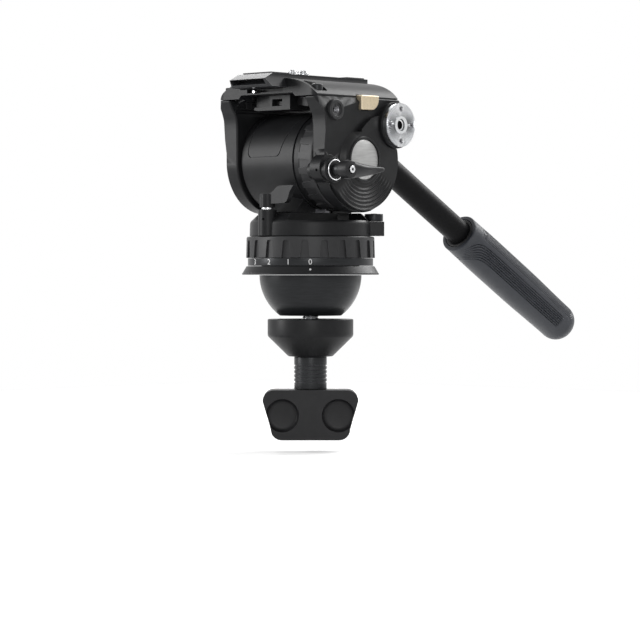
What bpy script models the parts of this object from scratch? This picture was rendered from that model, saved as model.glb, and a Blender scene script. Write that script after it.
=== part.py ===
"""Fluid video head for a 75 mm bowl, with a pan bar, drag rings and a quick release plate.

Origin on the pan axis at the plane of the bowl's rim, +Z up, front towards -Y.
"""

import math

import bmesh
import bpy
from mathutils import Matrix, Vector

# Clearances, cutters and the distance under which points are one
GAP = 0.0003
OVERRUN = 0.002
SAME_POINT = 0.00001

# Sides of round pieces
ROUND_STEPS = 36
NOTCHED_STEPS = 42
MIDDLE_STEPS = 22
SMALL_STEPS = 14
TINY_STEPS = 8
CORNER_STEPS = 4

# Base flange, its spigot and the half ball
FLANGE_OUT = 0.0030
FLANGE_SLOPE = 0.0033
FLANGE_H = 0.0063
SPIGOT_INSET = 0.0004
BALL_R = 0.0375
BALL_DEPTH = 0.0300
BALL_STEPS = 6

# Pan spindle and its nut
SPINDLE_R = 0.0100
SPINDLE_HEAD_R = 0.0140
SPINDLE_HEAD_H = 0.0037
SPINDLE_END = 0.0007
SPINDLE_NUT_WALL = 0.0050
SPINDLE_NUT_H = 0.0045
SPINDLE_NUT_R = SPINDLE_R + SPINDLE_NUT_WALL

# Fluid cartridge of the pan axis, on the spigot
DAMPER_CLEAR = 0.0050
DAMPER_WALL = 0.0190
DAMPER_H = 0.0052
SPIGOT_EDGE = 0.0020
DAMPER_IN_R = SPINDLE_R + DAMPER_CLEAR
DAMPER_OUT_R = DAMPER_IN_R + DAMPER_WALL
SPIGOT_R = DAMPER_OUT_R + SPIGOT_EDGE

# Bowl clamp: stud, cup and wing knob
STUD_R = 0.0060
STUD_HEAD_R = 0.0098
STUD_HEAD_H = 0.0075
STUD_HEAD_ROOM = 0.0010
CUP_R = 0.0315
CUP_CLEAR = 0.0025
CUP_STRAIGHT_H = 0.0125
CUP_CONE_H = 0.0150
CUP_END_R = 0.0162
NECK_R = 0.0120
NECK_H = 0.0237
WING_H = 0.0367
WING_HALF_W = 0.0350
WING_HALF_T = 0.0150
WING_TAPER = 0.0060
WING_CORNER = 0.0080
WING_EDGE = 0.0027
WING_FLOOR = 0.0130
WING_TURN = math.radians(43.4)
BALL_HEAD_POCKET = STUD_HEAD_H + STUD_HEAD_ROOM
CUP_TOP = -BALL_DEPTH - CUP_CLEAR
CUP_STRAIGHT_END = CUP_TOP - CUP_STRAIGHT_H
CUP_END = CUP_STRAIGHT_END - CUP_CONE_H
NECK_END = CUP_END - GAP - NECK_H
WING_END = NECK_END - GAP - WING_H
STUD_END = WING_END + WING_FLOOR

# Pan drag ring and the number band under it
DRAG_WALL = 0.0110
DRAG_H = 0.0156
DRAG_CHAMFER = 0.0015
BAND_INSET = 0.0013
BAND_H = 0.0054
NOTCH_COUNT = 21
NOTCH_DEPTH = 0.0014
NOTCH_LOW_W = 0.0070
NOTCH_HIGH_W = 0.0042
NOTCH_TOP_GAP = 0.0028
DRAG_R = SPIGOT_R + GAP + DRAG_WALL
FLANGE_LOW_R = DRAG_R + FLANGE_OUT
FLANGE_HIGH_R = FLANGE_LOW_R - FLANGE_SLOPE
BAND_R = DRAG_R - BAND_INSET
BAND_LOW = FLANGE_H + GAP
BAND_HIGH = BAND_LOW + BAND_H
DRAG_LOW = BAND_HIGH + GAP
DRAG_HIGH = DRAG_LOW + DRAG_H
SPIGOT_TOP = DRAG_HIGH - SPIGOT_INSET

# Pan housing with the bearing in it
HOUSING_INSET = 0.0026
HOUSING_SLOPE = 0.0073
HOUSING_SLOPE_H = 0.0065
HOUSING_DRAFT = 0.0003
HOUSING_WALL = 0.0035
HOUSING_ROOF = 0.0080
POCKET_FLOOR_T = 0.0025
POCKET_SIDE_X = 0.0140
POCKET_REAR_Y = 0.0200
POCKET_SLANT = 0.0060
BEARING_CLEAR = 0.0020
BEARING_WALL = 0.0080
BEARING_H = 0.0034
HOUSING_R = DRAG_R - HOUSING_INSET
BEARING_IN_R = SPINDLE_R + BEARING_CLEAR
BEARING_OUT_R = BEARING_IN_R + BEARING_WALL
DAMPER_TOP = SPIGOT_TOP + GAP + DAMPER_H
HOUSING_LOW = DRAG_HIGH + GAP
HOUSING_CEILING = DAMPER_TOP + 2 * GAP + BEARING_H
HOUSING_TOP = HOUSING_CEILING + HOUSING_ROOF
HOUSING_TOP_R = HOUSING_R - HOUSING_SLOPE
HOUSING_SHOULDER_R = HOUSING_R - HOUSING_DRAFT
HOUSING_SHOULDER_Z = HOUSING_TOP - HOUSING_SLOPE_H
POCKET_FLOOR = HOUSING_CEILING + POCKET_FLOOR_T
SPINDLE_TOP = HOUSING_TOP + GAP + SPINDLE_NUT_H + SPINDLE_END

# Pan lock: pin in the housing's boss and its lever
LOCK_X = -0.0030
LOCK_INSET = 0.0026
LOCK_BOSS_R = 0.00675
LOCK_BOSS_H = 0.0020
LOCK_CROSS_R = 0.0011
LOCK_CROSS_DROP = 0.0068
LOCK_CROSS_DEPTH = 0.0018
LOCK_CROSS_TURN = math.radians(-71.6)
LOCK_PIN_R = 0.0028
LOCK_PIN_DEPTH = 0.0080
LOCK_COLLAR_WALL = 0.0014
LOCK_COLLAR_H = 0.0014
LOCK_HUB_R = 0.0055
LOCK_HUB_H = 0.0095
LOCK_BLADE_UP = 0.0025
LOCK_BLADE_H = 0.0128
LOCK_BLADE_REACH = 0.0280
LOCK_BLADE_T = 0.0042
LOCK_BLADE_SHARES = (
    (-0.107, 0.000), (0.430, 0.000), (0.680, 0.023), (0.757, 0.117), (0.807, 0.320), (0.857, 0.633),
    (1.000, 1.000), (0.536, 1.000), (0.421, 0.945), (0.329, 0.805), (0.236, 0.648), (0.143, 0.555),
    (-0.107, 0.523),
)
LOCK_Y = LOCK_INSET - HOUSING_R
LOCK_BOSS_TOP = HOUSING_TOP + LOCK_BOSS_H
LOCK_COLLAR_R = LOCK_PIN_R + LOCK_COLLAR_WALL
LOCK_HUB_LOW = LOCK_BOSS_TOP + LOCK_COLLAR_H + 2 * GAP
LOCK_HUB_TOP = LOCK_HUB_LOW + LOCK_HUB_H
LOCK_BLADE_LOW = LOCK_HUB_LOW + LOCK_BLADE_UP

# Bubble level on its block
LEVEL_TURN = math.radians(43.4)
LEVEL_OVERHANG = 0.0093
LEVEL_SIDE = 0.0010
LEVEL_EDGE = 0.0007
LEVEL_STEP = 0.0003
LEVEL_RING_R = 0.0068
LEVEL_RING_H = 0.0055
LEVEL_RING_WALL = 0.0011
LEVEL_REACH = HOUSING_R + LEVEL_OVERHANG
LEVEL_HALF_W = LEVEL_RING_R + LEVEL_SIDE
LEVEL_BLOCK_TOP = HOUSING_SHOULDER_Z + LEVEL_STEP
LEVEL_RING_TOP = LEVEL_BLOCK_TOP + GAP + LEVEL_RING_H
LEVEL_FROM_AXIS = LEVEL_REACH - LEVEL_EDGE - LEVEL_RING_R

# Tilt spindle and the fluid cartridge on it
TILT_SPINDLE_R = 0.0090
TILT_SPINDLE_IN_ARM = 0.0090
CARTRIDGE_CLEAR = 0.0030
CARTRIDGE_WALL = 0.0120
CARTRIDGE_W = 0.0240
CARTRIDGE_END_CLEAR = 0.0018
CARTRIDGE_TO_WALL = 0.0010
CARTRIDGE_IN_R = TILT_SPINDLE_R + CARTRIDGE_CLEAR
CARTRIDGE_OUT_R = CARTRIDGE_IN_R + CARTRIDGE_WALL

# Tilt drum, on the pan housing between the arms
DRUM_UP = 0.0020
ARM_SPREAD = 0.0006
DRUM_CLEAR = 0.0004
NECK_CLEAR = 0.0012
DRUM_ROUND = 0.0030
DRUM_NECK_WALL = 0.0050
DRUM_END_WALL = 0.0050
LIP_STEP = 0.0010
LIP_W = 0.0062
SEAM_W = 0.0006
SEAM_D = 0.0008

# Tilt drag ring on the drum's neck
TILT_RING_STEP = 0.0012
TILT_RING_WALL = 0.0069
TILT_RING_W = 0.0136
TILT_RING_END_CLEAR = 0.0006
TILT_RING_CLEAR = 0.0004
TILT_RING_CHAMFER = 0.0012
DRUM_HOLLOW_R = CARTRIDGE_OUT_R + CARTRIDGE_TO_WALL
DRUM_NECK_R = DRUM_HOLLOW_R + DRUM_NECK_WALL
TILT_RING_R = DRUM_NECK_R + GAP + TILT_RING_WALL
DRUM_R = TILT_RING_R - TILT_RING_STEP
TILT_Z = HOUSING_TOP + DRUM_R + DRUM_UP
ARM_IN_X = HOUSING_TOP_R + ARM_SPREAD
DRUM_LEFT = DRUM_CLEAR - ARM_IN_X
DRUM_RIGHT = ARM_IN_X - NECK_CLEAR
TILT_RING_END = DRUM_RIGHT - TILT_RING_END_CLEAR
TILT_RING_START = TILT_RING_END - TILT_RING_W
DRUM_LIP_R = DRUM_R - LIP_STEP
DRUM_LIP_END = TILT_RING_START - TILT_RING_CLEAR
DRUM_SEAM = DRUM_LIP_END - LIP_W

# Cone foot of the drum and the well for the spindle's nut
FOOT_INSET = 0.0044
FOOT_SLOPE = 0.0100
FOOT_H = 0.0130
NUT_WELL_CLEAR = 0.0015
FOOT_LOW_R = HOUSING_TOP_R - FOOT_INSET
FOOT_HIGH_R = FOOT_LOW_R - FOOT_SLOPE
FOOT_TOP = HOUSING_TOP + FOOT_H
NUT_WELL_R = SPINDLE_NUT_R + NUT_WELL_CLEAR
NUT_WELL_TOP = SPINDLE_TOP + NUT_WELL_CLEAR

# Line of the bare label field on the drum
PANEL_FROM_END = 0.0086
PANEL_TO_SEAM = 0.0130
PANEL_UP = 0.0030
PANEL_SLANT = 0.0080
PANEL_CORNER = 0.0040
PANEL_LINE = 0.0006
PANEL_D = 0.0008
PANEL_X0 = DRUM_LEFT + PANEL_FROM_END
PANEL_X1 = DRUM_SEAM - PANEL_TO_SEAM
PANEL_LOW_Z = TILT_Z + PANEL_UP

# Bearings of the tilt spindle and the counterbalance spring
TILT_BEARING_WALL = 0.0047
TILT_BEARING_W = 0.0038
SPRING_CLEAR = 0.0060
SPRING_WIRE_R = 0.0014
SPRING_TURNS = 6
SPRING_POINTS_PER_TURN = 8
TILT_SPINDLE_HALF = ARM_IN_X + TILT_SPINDLE_IN_ARM
TILT_BEARING_R = TILT_SPINDLE_R + GAP + TILT_BEARING_WALL
HOLLOW_LEFT = DRUM_LEFT + DRUM_END_WALL
HOLLOW_RIGHT = DRUM_RIGHT - DRUM_END_WALL
CARTRIDGE_END = HOLLOW_RIGHT - CARTRIDGE_END_CLEAR
CARTRIDGE_START = CARTRIDGE_END - CARTRIDGE_W
SPRING_R = TILT_SPINDLE_R + SPRING_CLEAR
SPRING_START = HOLLOW_LEFT + SPRING_WIRE_R + GAP
SPRING_END = CARTRIDGE_START - SPRING_WIRE_R - GAP
SPRING_PITCH = (SPRING_END - SPRING_START) / SPRING_TURNS

# Yoke arms: outline in the YZ plane, and the concave fillets that meet the platform
ARM_T = 0.0140
ARM_BELOW_DRUM = 0.0020
ARM_OVER_DRUM = 0.0087
ARM_FRONT_OUT = 0.0080
ARM_REAR_OUT = 0.0025
ARM_FRONT_SHARES = (
    (1.000, 1.000), (0.967, 0.906), (0.891, 0.794), (0.843, 0.694), (0.830, 0.559), (0.826, 0.157),
)
ARM_REAR_SHARE = 0.75
ARM_BOTTOM_FROM = math.radians(184.0)
ARM_BOTTOM_TO = math.radians(354.0)
ARM_BOTTOM_STEPS = 16
ARM_EDGE = 0.0012
GUSSET_R = 0.0095
GUSSET_LIP = 0.0006
GUSSET_FRONT_IN = 0.0060
GUSSET_REAR_IN = 0.0015
ARM_OUT_X = ARM_IN_X + ARM_T
ARM_BOTTOM_R = DRUM_R + ARM_BELOW_DRUM
ARM_TOP = TILT_Z + DRUM_R + ARM_OVER_DRUM
ARM_FRONT_Y = -ARM_BOTTOM_R - ARM_FRONT_OUT
ARM_REAR_Y = ARM_BOTTOM_R + ARM_REAR_OUT

# Tilt lock on the right arm: cup, washer, sleeved shaft, lever and its screw
TLOCK_OUT = 0.0005
TLOCK_DROP = 0.0085
TLOCK_BOSS_R = 0.0060
TLOCK_BOSS_H = 0.0055
TLOCK_CUP_R = 0.0092
TLOCK_CUP_H = 0.0025
TLOCK_WASHER_R = 0.0075
TLOCK_WASHER_T = 0.0014
TLOCK_SHAFT_R = 0.0030
TLOCK_SHAFT_WALL = 0.0020
TLOCK_SLEEVE_R = 0.0047
TLOCK_SLEEVE_L = 0.0057
TLOCK_HUB_R = 0.0062
TLOCK_HUB_W = 0.0090
TLOCK_REACH = 0.0378
TLOCK_BLADE_T = 0.0081
TLOCK_BLADE_SHARES = ((0.00, 1.00), (0.30, 0.72), (0.60, 0.50), (0.90, 0.32), (1.00, 0.14))
TLOCK_SCREW_R = 0.0026
TLOCK_SCREW_T = 0.0010
TLOCK_Y = -ARM_BOTTOM_R - TLOCK_OUT
TLOCK_Z = TILT_Z - TLOCK_DROP
TLOCK_BOSS_END = ARM_OUT_X + TLOCK_BOSS_H
TLOCK_CUP_END = TLOCK_BOSS_END + TLOCK_CUP_H
TLOCK_SHAFT_START = ARM_IN_X + TLOCK_SHAFT_WALL
TLOCK_SLEEVE_START = TLOCK_CUP_END + TLOCK_WASHER_T + 2 * GAP
TLOCK_HUB_START = TLOCK_SLEEVE_START + TLOCK_SLEEVE_L + GAP
TLOCK_HUB_END = TLOCK_HUB_START + TLOCK_HUB_W

# Covers on the arms, with the raised bezel, the bare silver disc and the ridges
COVER_MARGIN = 0.0014
COVER_CROP = 0.0036
COVER_T = 0.0014
COVER_CLEAR = 0.0006
BEZEL_R = 0.0165
BEZEL_T = 0.0012
BEZEL_W = 0.0021
BADGE_T = 0.0019
RIDGE_COUNT = 6
RIDGE_FROM_BEZEL = 0.0017
RIDGE_GROOVE_SHARE = 0.43
RIDGE_D = 0.0007
RIDGE_DROP = 0.0040
COVER_R = ARM_BOTTOM_R - COVER_MARGIN
COVER_TOP = TILT_Z + COVER_R - COVER_CROP
BADGE_R = BEZEL_R - BEZEL_W
RIDGE_IN_R = BEZEL_R + RIDGE_FROM_BEZEL
RIDGE_PITCH = (COVER_R - RIDGE_IN_R) / RIDGE_COUNT

# Knob of the pan bar: its stud sets the rosettes' holes
BARKNOB_R = 0.0135
BARKNOB_LENGTH = 0.0200
BARKNOB_STUD_R = 0.0029
BARKNOB_STUD_WALL = 0.0020
BARKNOB_LOBES = 5
BARKNOB_LOBE_R = 0.0060
BARKNOB_LOBE_DEPTH = 0.0030

# Rosettes for the pan bar, on bosses at the arms' rear
ROSETTE_R = 0.0159
ROSETTE_T = 0.0040
ROSETTE_BOSS_STEP = 0.0011
ROSETTE_BOSS_H = 0.0040
ROSETTE_FROM_REAR = 0.0075
ROSETTE_FROM_TOP = 0.0017
ROSETTE_TEETH = 30
ROSETTE_TOOTH_H = 0.0012
ROSETTE_HUB_RISE = 0.00012
ROSETTE_HUB_R = 0.0066
ROSETTE_HOLE_CLEAR = 0.0004
ROSETTE_PIN_R = 0.0013
ROSETTE_PIN_COUNT = 4
ROSETTE_BOSS_R = ROSETTE_R + ROSETTE_BOSS_STEP
ROSETTE_BOSS_END = ARM_OUT_X + ROSETTE_BOSS_H
ROSETTE_Y = ARM_REAR_Y - ROSETTE_FROM_REAR
ROSETTE_Z = ARM_TOP - ROSETTE_BOSS_R - ROSETTE_FROM_TOP
ROSETTE_HOLE_R = BARKNOB_STUD_R + ROSETTE_HOLE_CLEAR
ROSETTE_PIN_RING_R = (ROSETTE_HUB_R + ROSETTE_R) / 2

# Accessory socket on the right arm
SOCKET_FROM_FRONT = 0.0170
SOCKET_FROM_TOP = 0.0097
SOCKET_R = 0.0073
SOCKET_ROOT_R = 0.0055
SOCKET_HOLE_R = 0.0032
SOCKET_RISE = 0.0022
SOCKET_DEPTH = 0.0050
SOCKET_Y = ARM_FRONT_Y + SOCKET_FROM_FRONT
SOCKET_Z = ARM_TOP - SOCKET_FROM_TOP
SOCKET_END = ARM_OUT_X + SOCKET_RISE
SOCKET_ROOT = ARM_OUT_X - SOCKET_DEPTH

# Platform and the channel of the camera plate
PLATFORM_SKIRT = 0.0030
PLATFORM_ARCH = 0.0025
PLATFORM_FLOOR_T = 0.0039
PLATFORM_REAR_OUT = 0.0005
PLATFORM_CORNER = 0.0080
SHOULDER_STEPS = 6
DOVETAIL_H = 0.0063
DOVETAIL_SPREAD = 0.0030
PLATE_EDGE_H = 0.0035
PLATE_TOP_HALF = 0.0175
PLATE_OVERHANG = 0.0200
PLATE_REAR_OUT = 0.0020
PLATE_NOSE = 0.0085
PLATE_NOSE_DROP = 0.0043
PLATE_NOSE_UNDER = 0.0050
PLATFORM_LOW = ARM_TOP + GAP
PLATFORM_WAIST = PLATFORM_LOW + PLATFORM_SKIRT
PLATFORM_UNDER = PLATFORM_LOW + PLATFORM_ARCH
PLATFORM_FLOOR = PLATFORM_UNDER + PLATFORM_FLOOR_T
PLATE_BOTTOM = PLATFORM_FLOOR + GAP
PLATE_WAIST = PLATE_BOTTOM + DOVETAIL_H
PLATE_TOP = PLATE_WAIST + PLATE_EDGE_H
PLATE_NOSE_Z = PLATE_TOP - PLATE_NOSE_DROP
PLATFORM_HIGH = PLATE_WAIST + GAP
PLATFORM_FRONT = ARM_FRONT_Y
PLATFORM_REAR = ARM_REAR_Y + PLATFORM_REAR_OUT
PLATE_LOW_HALF = PLATE_TOP_HALF + DOVETAIL_SPREAD
PLATE_FRONT = PLATFORM_FRONT - PLATE_OVERHANG
PLATE_REAR = PLATFORM_REAR + PLATE_REAR_OUT

# Movable jaw at the plate's left side, and the rubber pads on the plate
JAW_W = 0.0060
JAW_FROM_FRONT = 0.0160
JAW_FROM_REAR = 0.0130
JAW_TRAVEL = 0.0012
PAD_T = 0.0008
PAD_SIDE = 0.0035
PAD_LENGTH = 0.0190
PAD_FROM_NOSE = 0.0015
JAW_OUT_X = PLATE_LOW_HALF + JAW_W
JAW_FRONT = PLATFORM_FRONT + JAW_FROM_FRONT
JAW_REAR = PLATFORM_REAR - JAW_FROM_REAR
PAD_HALF_W = PLATE_TOP_HALF - PAD_SIDE
PAD_FRONT = PLATE_FRONT + PLATE_NOSE + PAD_FROM_NOSE
PAD_REAR = PLATE_REAR - PAD_LENGTH

# Camera screws
QUARTER_R = 0.00317
QUARTER_HEAD_R = 0.0045
QUARTER_Y = -0.0190
EIGHTHS_R = 0.00475
EIGHTHS_HEAD_R = 0.0056
SCREW_RISE = 0.0048
SCREW_HEAD_H = 0.0028
EIGHTHS_Y = QUARTER_Y + QUARTER_HEAD_R + EIGHTHS_HEAD_R + 3 * GAP

# Latch box under the platform, over the drum
LATCH_SIDE_CLEAR = 0.0005
LATCH_W = 0.0365
LATCH_FROM_FRONT = 0.0130
LATCH_L = 0.0210
LATCH_CLEAR = 0.0005
LATCH_WINDOW_X0 = -0.0070
LATCH_WINDOW_W = 0.0100
LATCH_WINDOW_UP = 0.0030
LATCH_WINDOW_H = 0.0050
LATCH_WINDOW_DEPTH = 0.0080
LATCH_X0 = LATCH_SIDE_CLEAR - (ARM_IN_X - GUSSET_R - PLATFORM_ARCH)
LATCH_Y0 = PLATFORM_FRONT + LATCH_FROM_FRONT
LATCH_LOW = TILT_Z + DRUM_R + LATCH_CLEAR
LATCH_TOP = PLATFORM_UNDER - GAP
LATCH_WINDOW_LOW = LATCH_LOW + LATCH_WINDOW_UP

# Stop pin of the plate, and the safety button in its pocket
STOP_PIN_R = 0.0013
STOP_PIN_X = -0.0104
STOP_PIN_UP = 0.0021
STOP_PIN_IN = 0.0060
STOP_PIN_OUT = 0.0030
BUTTON_R = 0.0042
BUTTON_H = 0.0082
BUTTON_IN_X = 0.0100
BUTTON_IN_Y = 0.0085
BUTTON_POCKET_CLEAR = 0.0020
BUTTON_FLOOR_T = 0.0020
STOP_PIN_Z = PLATFORM_UNDER + STOP_PIN_UP
STOP_PIN_ROOT = STOP_PIN_IN + PLATFORM_FRONT
STOP_PIN_TIP = PLATFORM_FRONT - STOP_PIN_OUT
BUTTON_X = ARM_OUT_X - BUTTON_IN_X
BUTTON_Y = PLATFORM_FRONT + BUTTON_IN_Y
BUTTON_POCKET_R = BUTTON_R + BUTTON_POCKET_CLEAR
BUTTON_POCKET_FLOOR = PLATFORM_LOW + BUTTON_FLOOR_T

# Release tab on the right side
TAB_Y0 = -0.0030
TAB_L = 0.0186
TAB_H = 0.0106
TAB_FROM_TOP = 0.0087
TAB_OUT = 0.0040
TAB_IN = 0.0040
TAB_TRAVEL = 0.0025
TAB_CORNER = 0.0080
TAB_CLEAR = 0.0005
TAB_Y1 = TAB_Y0 + TAB_L
TAB_LOW = ARM_TOP - TAB_FROM_TOP
TAB_TOP = TAB_LOW + TAB_H
TAB_OUT_X = ARM_OUT_X + TAB_OUT
TAB_IN_X = ARM_OUT_X - TAB_IN
TAB_POCKET_X = TAB_IN_X - TAB_TRAVEL

# Plate lock lever on the left side, on its lug
PLOCK_Y = -0.0220
PLOCK_LUG_HALF = 0.0060
PLOCK_HUB_STEP = 0.0002
PLOCK_HUB_H = 0.0072
PLOCK_REACH = 0.0280
PLOCK_BLADE_T = 0.0045
PLOCK_PIN_R = 0.0025
PLOCK_X = -ARM_OUT_X - PLOCK_LUG_HALF
PLOCK_HUB_R = PLOCK_LUG_HALF - PLOCK_HUB_STEP
PLOCK_LUG_LOW = PLATFORM_LOW
PLOCK_LUG_TOP = PLATFORM_WAIST
PLOCK_HUB_LOW = PLOCK_LUG_TOP + GAP
PLOCK_HUB_TOP = PLOCK_HUB_LOW + PLOCK_HUB_H

# Pan bar on the left rosette: clamp, bent bar, ring and grip
BAR_DROP = math.radians(18.0)
BAR_BEND = math.radians(12.1)
BAR_BEND_AT = 0.1035
BAR_BEND_R = 0.1200
BAR_BEND_STEPS = 5
BAR_R = 0.0102
BAR_OVER_BOSS = 0.0020
BAR_IN_GRIP = 0.0200
CLAMP_WALL = 0.0038
CLAMP_CLEAR = 0.0010
CLAMP_HALF = 0.0170
CLAMP_STOP = 0.0030
CLAMP_BOSS_R = 0.0155
CLAMP_FACE = 0.0100
CLAMP_WEB_HALF = 0.0085
CLAMP_WEB_HALF_L = 0.0120
COLLAR_WALL = 0.0026
COLLAR_W = 0.0030
GRIP_START = 0.1383
GRIP_LENGTH = 0.1620
GRIP_WALL = 0.0066
GRIP_NECK_IN = 0.0005
GRIP_END_IN = 0.0010
GRIP_ROUND = 0.0140
GRIP_ROUND_STEPS = 5
GRIP_WIDE_SHARES = (0.25, 0.50)
CLAMP_R = BAR_R + CLAMP_WALL
BAR_OFFSET = CLAMP_BOSS_R + BAR_R + BAR_OVER_BOSS
BAR_X = -(ROSETTE_BOSS_END + 2 * ROSETTE_T + CLAMP_R + CLAMP_CLEAR)
BAR_START = CLAMP_STOP - CLAMP_HALF
CLAMP_OUT_X = BAR_X - CLAMP_FACE
COLLAR_R = BAR_R + COLLAR_WALL
GRIP_R = BAR_R + GRIP_WALL
GRIP_NECK_R = GRIP_R - GRIP_NECK_IN
GRIP_END_R = GRIP_R - GRIP_END_IN
BARKNOB_STUD_IN = BARKNOB_STUD_WALL - ARM_OUT_X


def clear_scene():
    """Remove the objects of the starting scene."""
    for old in list(bpy.data.objects):
        bpy.data.objects.remove(old, do_unlink=True)


clear_scene()
PARTS = bpy.data.collections.new("fluid_video_head")
CUTTERS = bpy.data.collections.new("cutters")
bpy.context.scene.collection.children.link(PARTS)
bpy.context.scene.collection.children.link(CUTTERS)

# Colour, roughness and metallic value of each finish
FINISHES = {
    "black_casting": ((0.030, 0.031, 0.033, 1.0), 0.48, 0.35),
    "black_plastic": ((0.022, 0.022, 0.024, 1.0), 0.55, 0.0),
    "black_anodised": ((0.035, 0.036, 0.040, 1.0), 0.38, 0.7),
    "black_rubber": ((0.030, 0.033, 0.040, 1.0), 0.75, 0.0),
    "bright_steel": ((0.780, 0.780, 0.790, 1.0), 0.25, 1.0),
    "dark_steel": ((0.180, 0.180, 0.190, 1.0), 0.35, 1.0),
    "silver_disc": ((0.560, 0.565, 0.570, 1.0), 0.40, 0.8),
    "gold_anodised": ((0.560, 0.500, 0.400, 1.0), 0.35, 0.6),
    "level_glass": ((0.620, 0.750, 0.250, 1.0), 0.10, 0.0),
    "brass": ((0.600, 0.430, 0.180, 1.0), 0.35, 1.0),
}


def finish(name):
    """Material of one finish, made once."""
    if name in bpy.data.materials:
        return bpy.data.materials[name]
    colour, roughness, metallic = FINISHES[name]
    material = bpy.data.materials.new(name)
    material.use_nodes = True
    shader = material.node_tree.nodes["Principled BSDF"]
    shader.inputs["Base Color"].default_value = colour
    shader.inputs["Roughness"].default_value = roughness
    shader.inputs["Metallic"].default_value = metallic
    return material


def place(name, mesh, look, at=(0, 0, 0), turn=(0, 0, 0)):
    """Put a mesh in the scene: a part when it has a finish, a cutter when it has none."""
    piece = bpy.data.objects.new(name, mesh)
    piece.location = at
    piece.rotation_euler = turn
    if look is None:
        CUTTERS.objects.link(piece)
        piece.hide_render = True
        piece.display_type = "WIRE"
    else:
        PARTS.objects.link(piece)
        mesh.materials.append(finish(look))
    return piece


def boolean(piece, tool, operation="DIFFERENCE"):
    """Cut a piece with a tool, or join the tool to it."""
    change = piece.modifiers.new(operation.lower(), "BOOLEAN")
    change.operation = operation
    change.object = tool
    return piece


def bevel(piece, width, segments=2, angle=math.radians(40)):
    """Round the piece's sharp edges."""
    change = piece.modifiers.new("bevel", "BEVEL")
    change.width = width
    change.segments = segments
    change.limit_method = "ANGLE"
    change.angle_limit = angle
    return piece


AXIS_TURN = {"Z": (0, 0, 0), "X": (0, math.pi / 2, 0)}
FRONT_TURN = (math.pi / 2, 0, 0)


def turned(name, profile, look, axis="Z", at=(0, 0, 0), steps=ROUND_STEPS, turn=None, ring=True):
    """Solid of revolution: the profile runs down its outer side, as (radius, height)."""
    mesh = bpy.data.meshes.new(name)
    points = [(radius, 0, height) for radius, height in profile]
    edges = [(index, index + 1) for index in range(len(points) - 1)]
    if ring:
        edges.append((len(points) - 1, 0))
    mesh.from_pydata(points, edges, [])
    piece = place(name, mesh, look, at, AXIS_TURN[axis] if turn is None else turn)
    spin = piece.modifiers.new("turn", "SCREW")
    spin.steps = steps
    spin.render_steps = steps
    spin.use_merge_vertices = True
    spin.merge_threshold = SAME_POINT
    spin.use_smooth_shade = True
    return piece


def disc(name, radius, low, high, look, axis="Z", at=(0, 0, 0), steps=ROUND_STEPS, turn=None):
    """Plain cylinder between two heights on an axis."""
    profile = [(0, high), (radius, high), (radius, low), (0, low)]
    return turned(name, profile, look, axis, at, steps, turn, ring=False)


def tube_ring(name, inner, outer, low, high, look, axis="Z", at=(0, 0, 0), steps=ROUND_STEPS):
    """Ring of square section between two heights on an axis."""
    profile = [(outer, high), (outer, low), (inner, low), (inner, high)]
    return turned(name, profile, look, axis, at, steps)


def block(name, low, high, look):
    """Box between two corners."""
    low, high = Vector(low), Vector(high)
    build = bmesh.new()
    bmesh.ops.create_cube(build, size=1)
    bmesh.ops.scale(build, vec=high - low, verts=build.verts)
    bmesh.ops.translate(build, vec=(high + low) / 2, verts=build.verts)
    mesh = bpy.data.meshes.new(name)
    build.to_mesh(mesh)
    build.free()
    return place(name, mesh, look)


# Turns that lay a flat outline in a plane: its X and Y become the plane's two letters
PLANE_TURN = {
    "XY": (0, 0, 0),
    "XZ": (math.pi / 2, 0, 0),
    "YZ": (math.pi / 2, 0, math.pi / 2),
}


def solid_from_curve(name, shape, look):
    """Closed mesh with the curve's evaluated form, in the curve's place."""
    bpy.context.scene.collection.objects.link(shape)
    bpy.context.view_layer.update()
    evaluated = shape.evaluated_get(bpy.context.evaluated_depsgraph_get())
    mesh = bpy.data.meshes.new_from_object(evaluated)
    mesh.name = name
    build = bmesh.new()
    build.from_mesh(mesh)
    bmesh.ops.remove_doubles(build, verts=build.verts, dist=SAME_POINT)
    bmesh.ops.recalc_face_normals(build, faces=build.faces)
    build.to_mesh(mesh)
    build.free()
    mesh.materials.clear()
    where = shape.matrix_world.copy()
    bpy.data.objects.remove(shape, do_unlink=True)
    piece = place(name, mesh, look)
    piece.matrix_world = where
    return piece


def extruded(name, outline, start, end, look, plane):
    """Flat outline given a thickness, from start to end along the plane's normal."""
    data = bpy.data.curves.new(name, "CURVE")
    data.dimensions = "2D"
    data.fill_mode = "BOTH"
    data.extrude = abs(end - start) / 2
    spline = data.splines.new("POLY")
    spline.points.add(len(outline) - 1)
    for point, (across, up) in zip(spline.points, outline):
        point.co = (across, up, 0, 1)
    spline.use_cyclic_u = True
    shape = bpy.data.objects.new(name, data)
    shape.rotation_euler = PLANE_TURN[plane]
    middle = (start + end) / 2
    shape.location = {"XY": (0, 0, middle), "XZ": (0, middle, 0), "YZ": (middle, 0, 0)}[plane]
    return solid_from_curve(name, shape, look)


def rod(name, points, radius, look, resolution=2):
    """Round wire or tube along points, with filled caps."""
    data = bpy.data.curves.new(name, "CURVE")
    data.dimensions = "3D"
    data.bevel_depth = radius
    data.bevel_resolution = resolution
    data.use_fill_caps = True
    spline = data.splines.new("POLY")
    spline.points.add(len(points) - 1)
    for point, place_at in zip(spline.points, points):
        point.co = (*place_at, 1)
    return solid_from_curve(name, bpy.data.objects.new(name, data), look)


def arc(centre, radius, start, end, steps):
    """Points on an arc, angles from the first axis towards the second."""
    points = []
    for index in range(steps + 1):
        angle = start + (end - start) * index / steps
        across = centre[0] + radius * math.cos(angle)
        up = centre[1] + radius * math.sin(angle)
        points.append((across, up))
    return points


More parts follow.
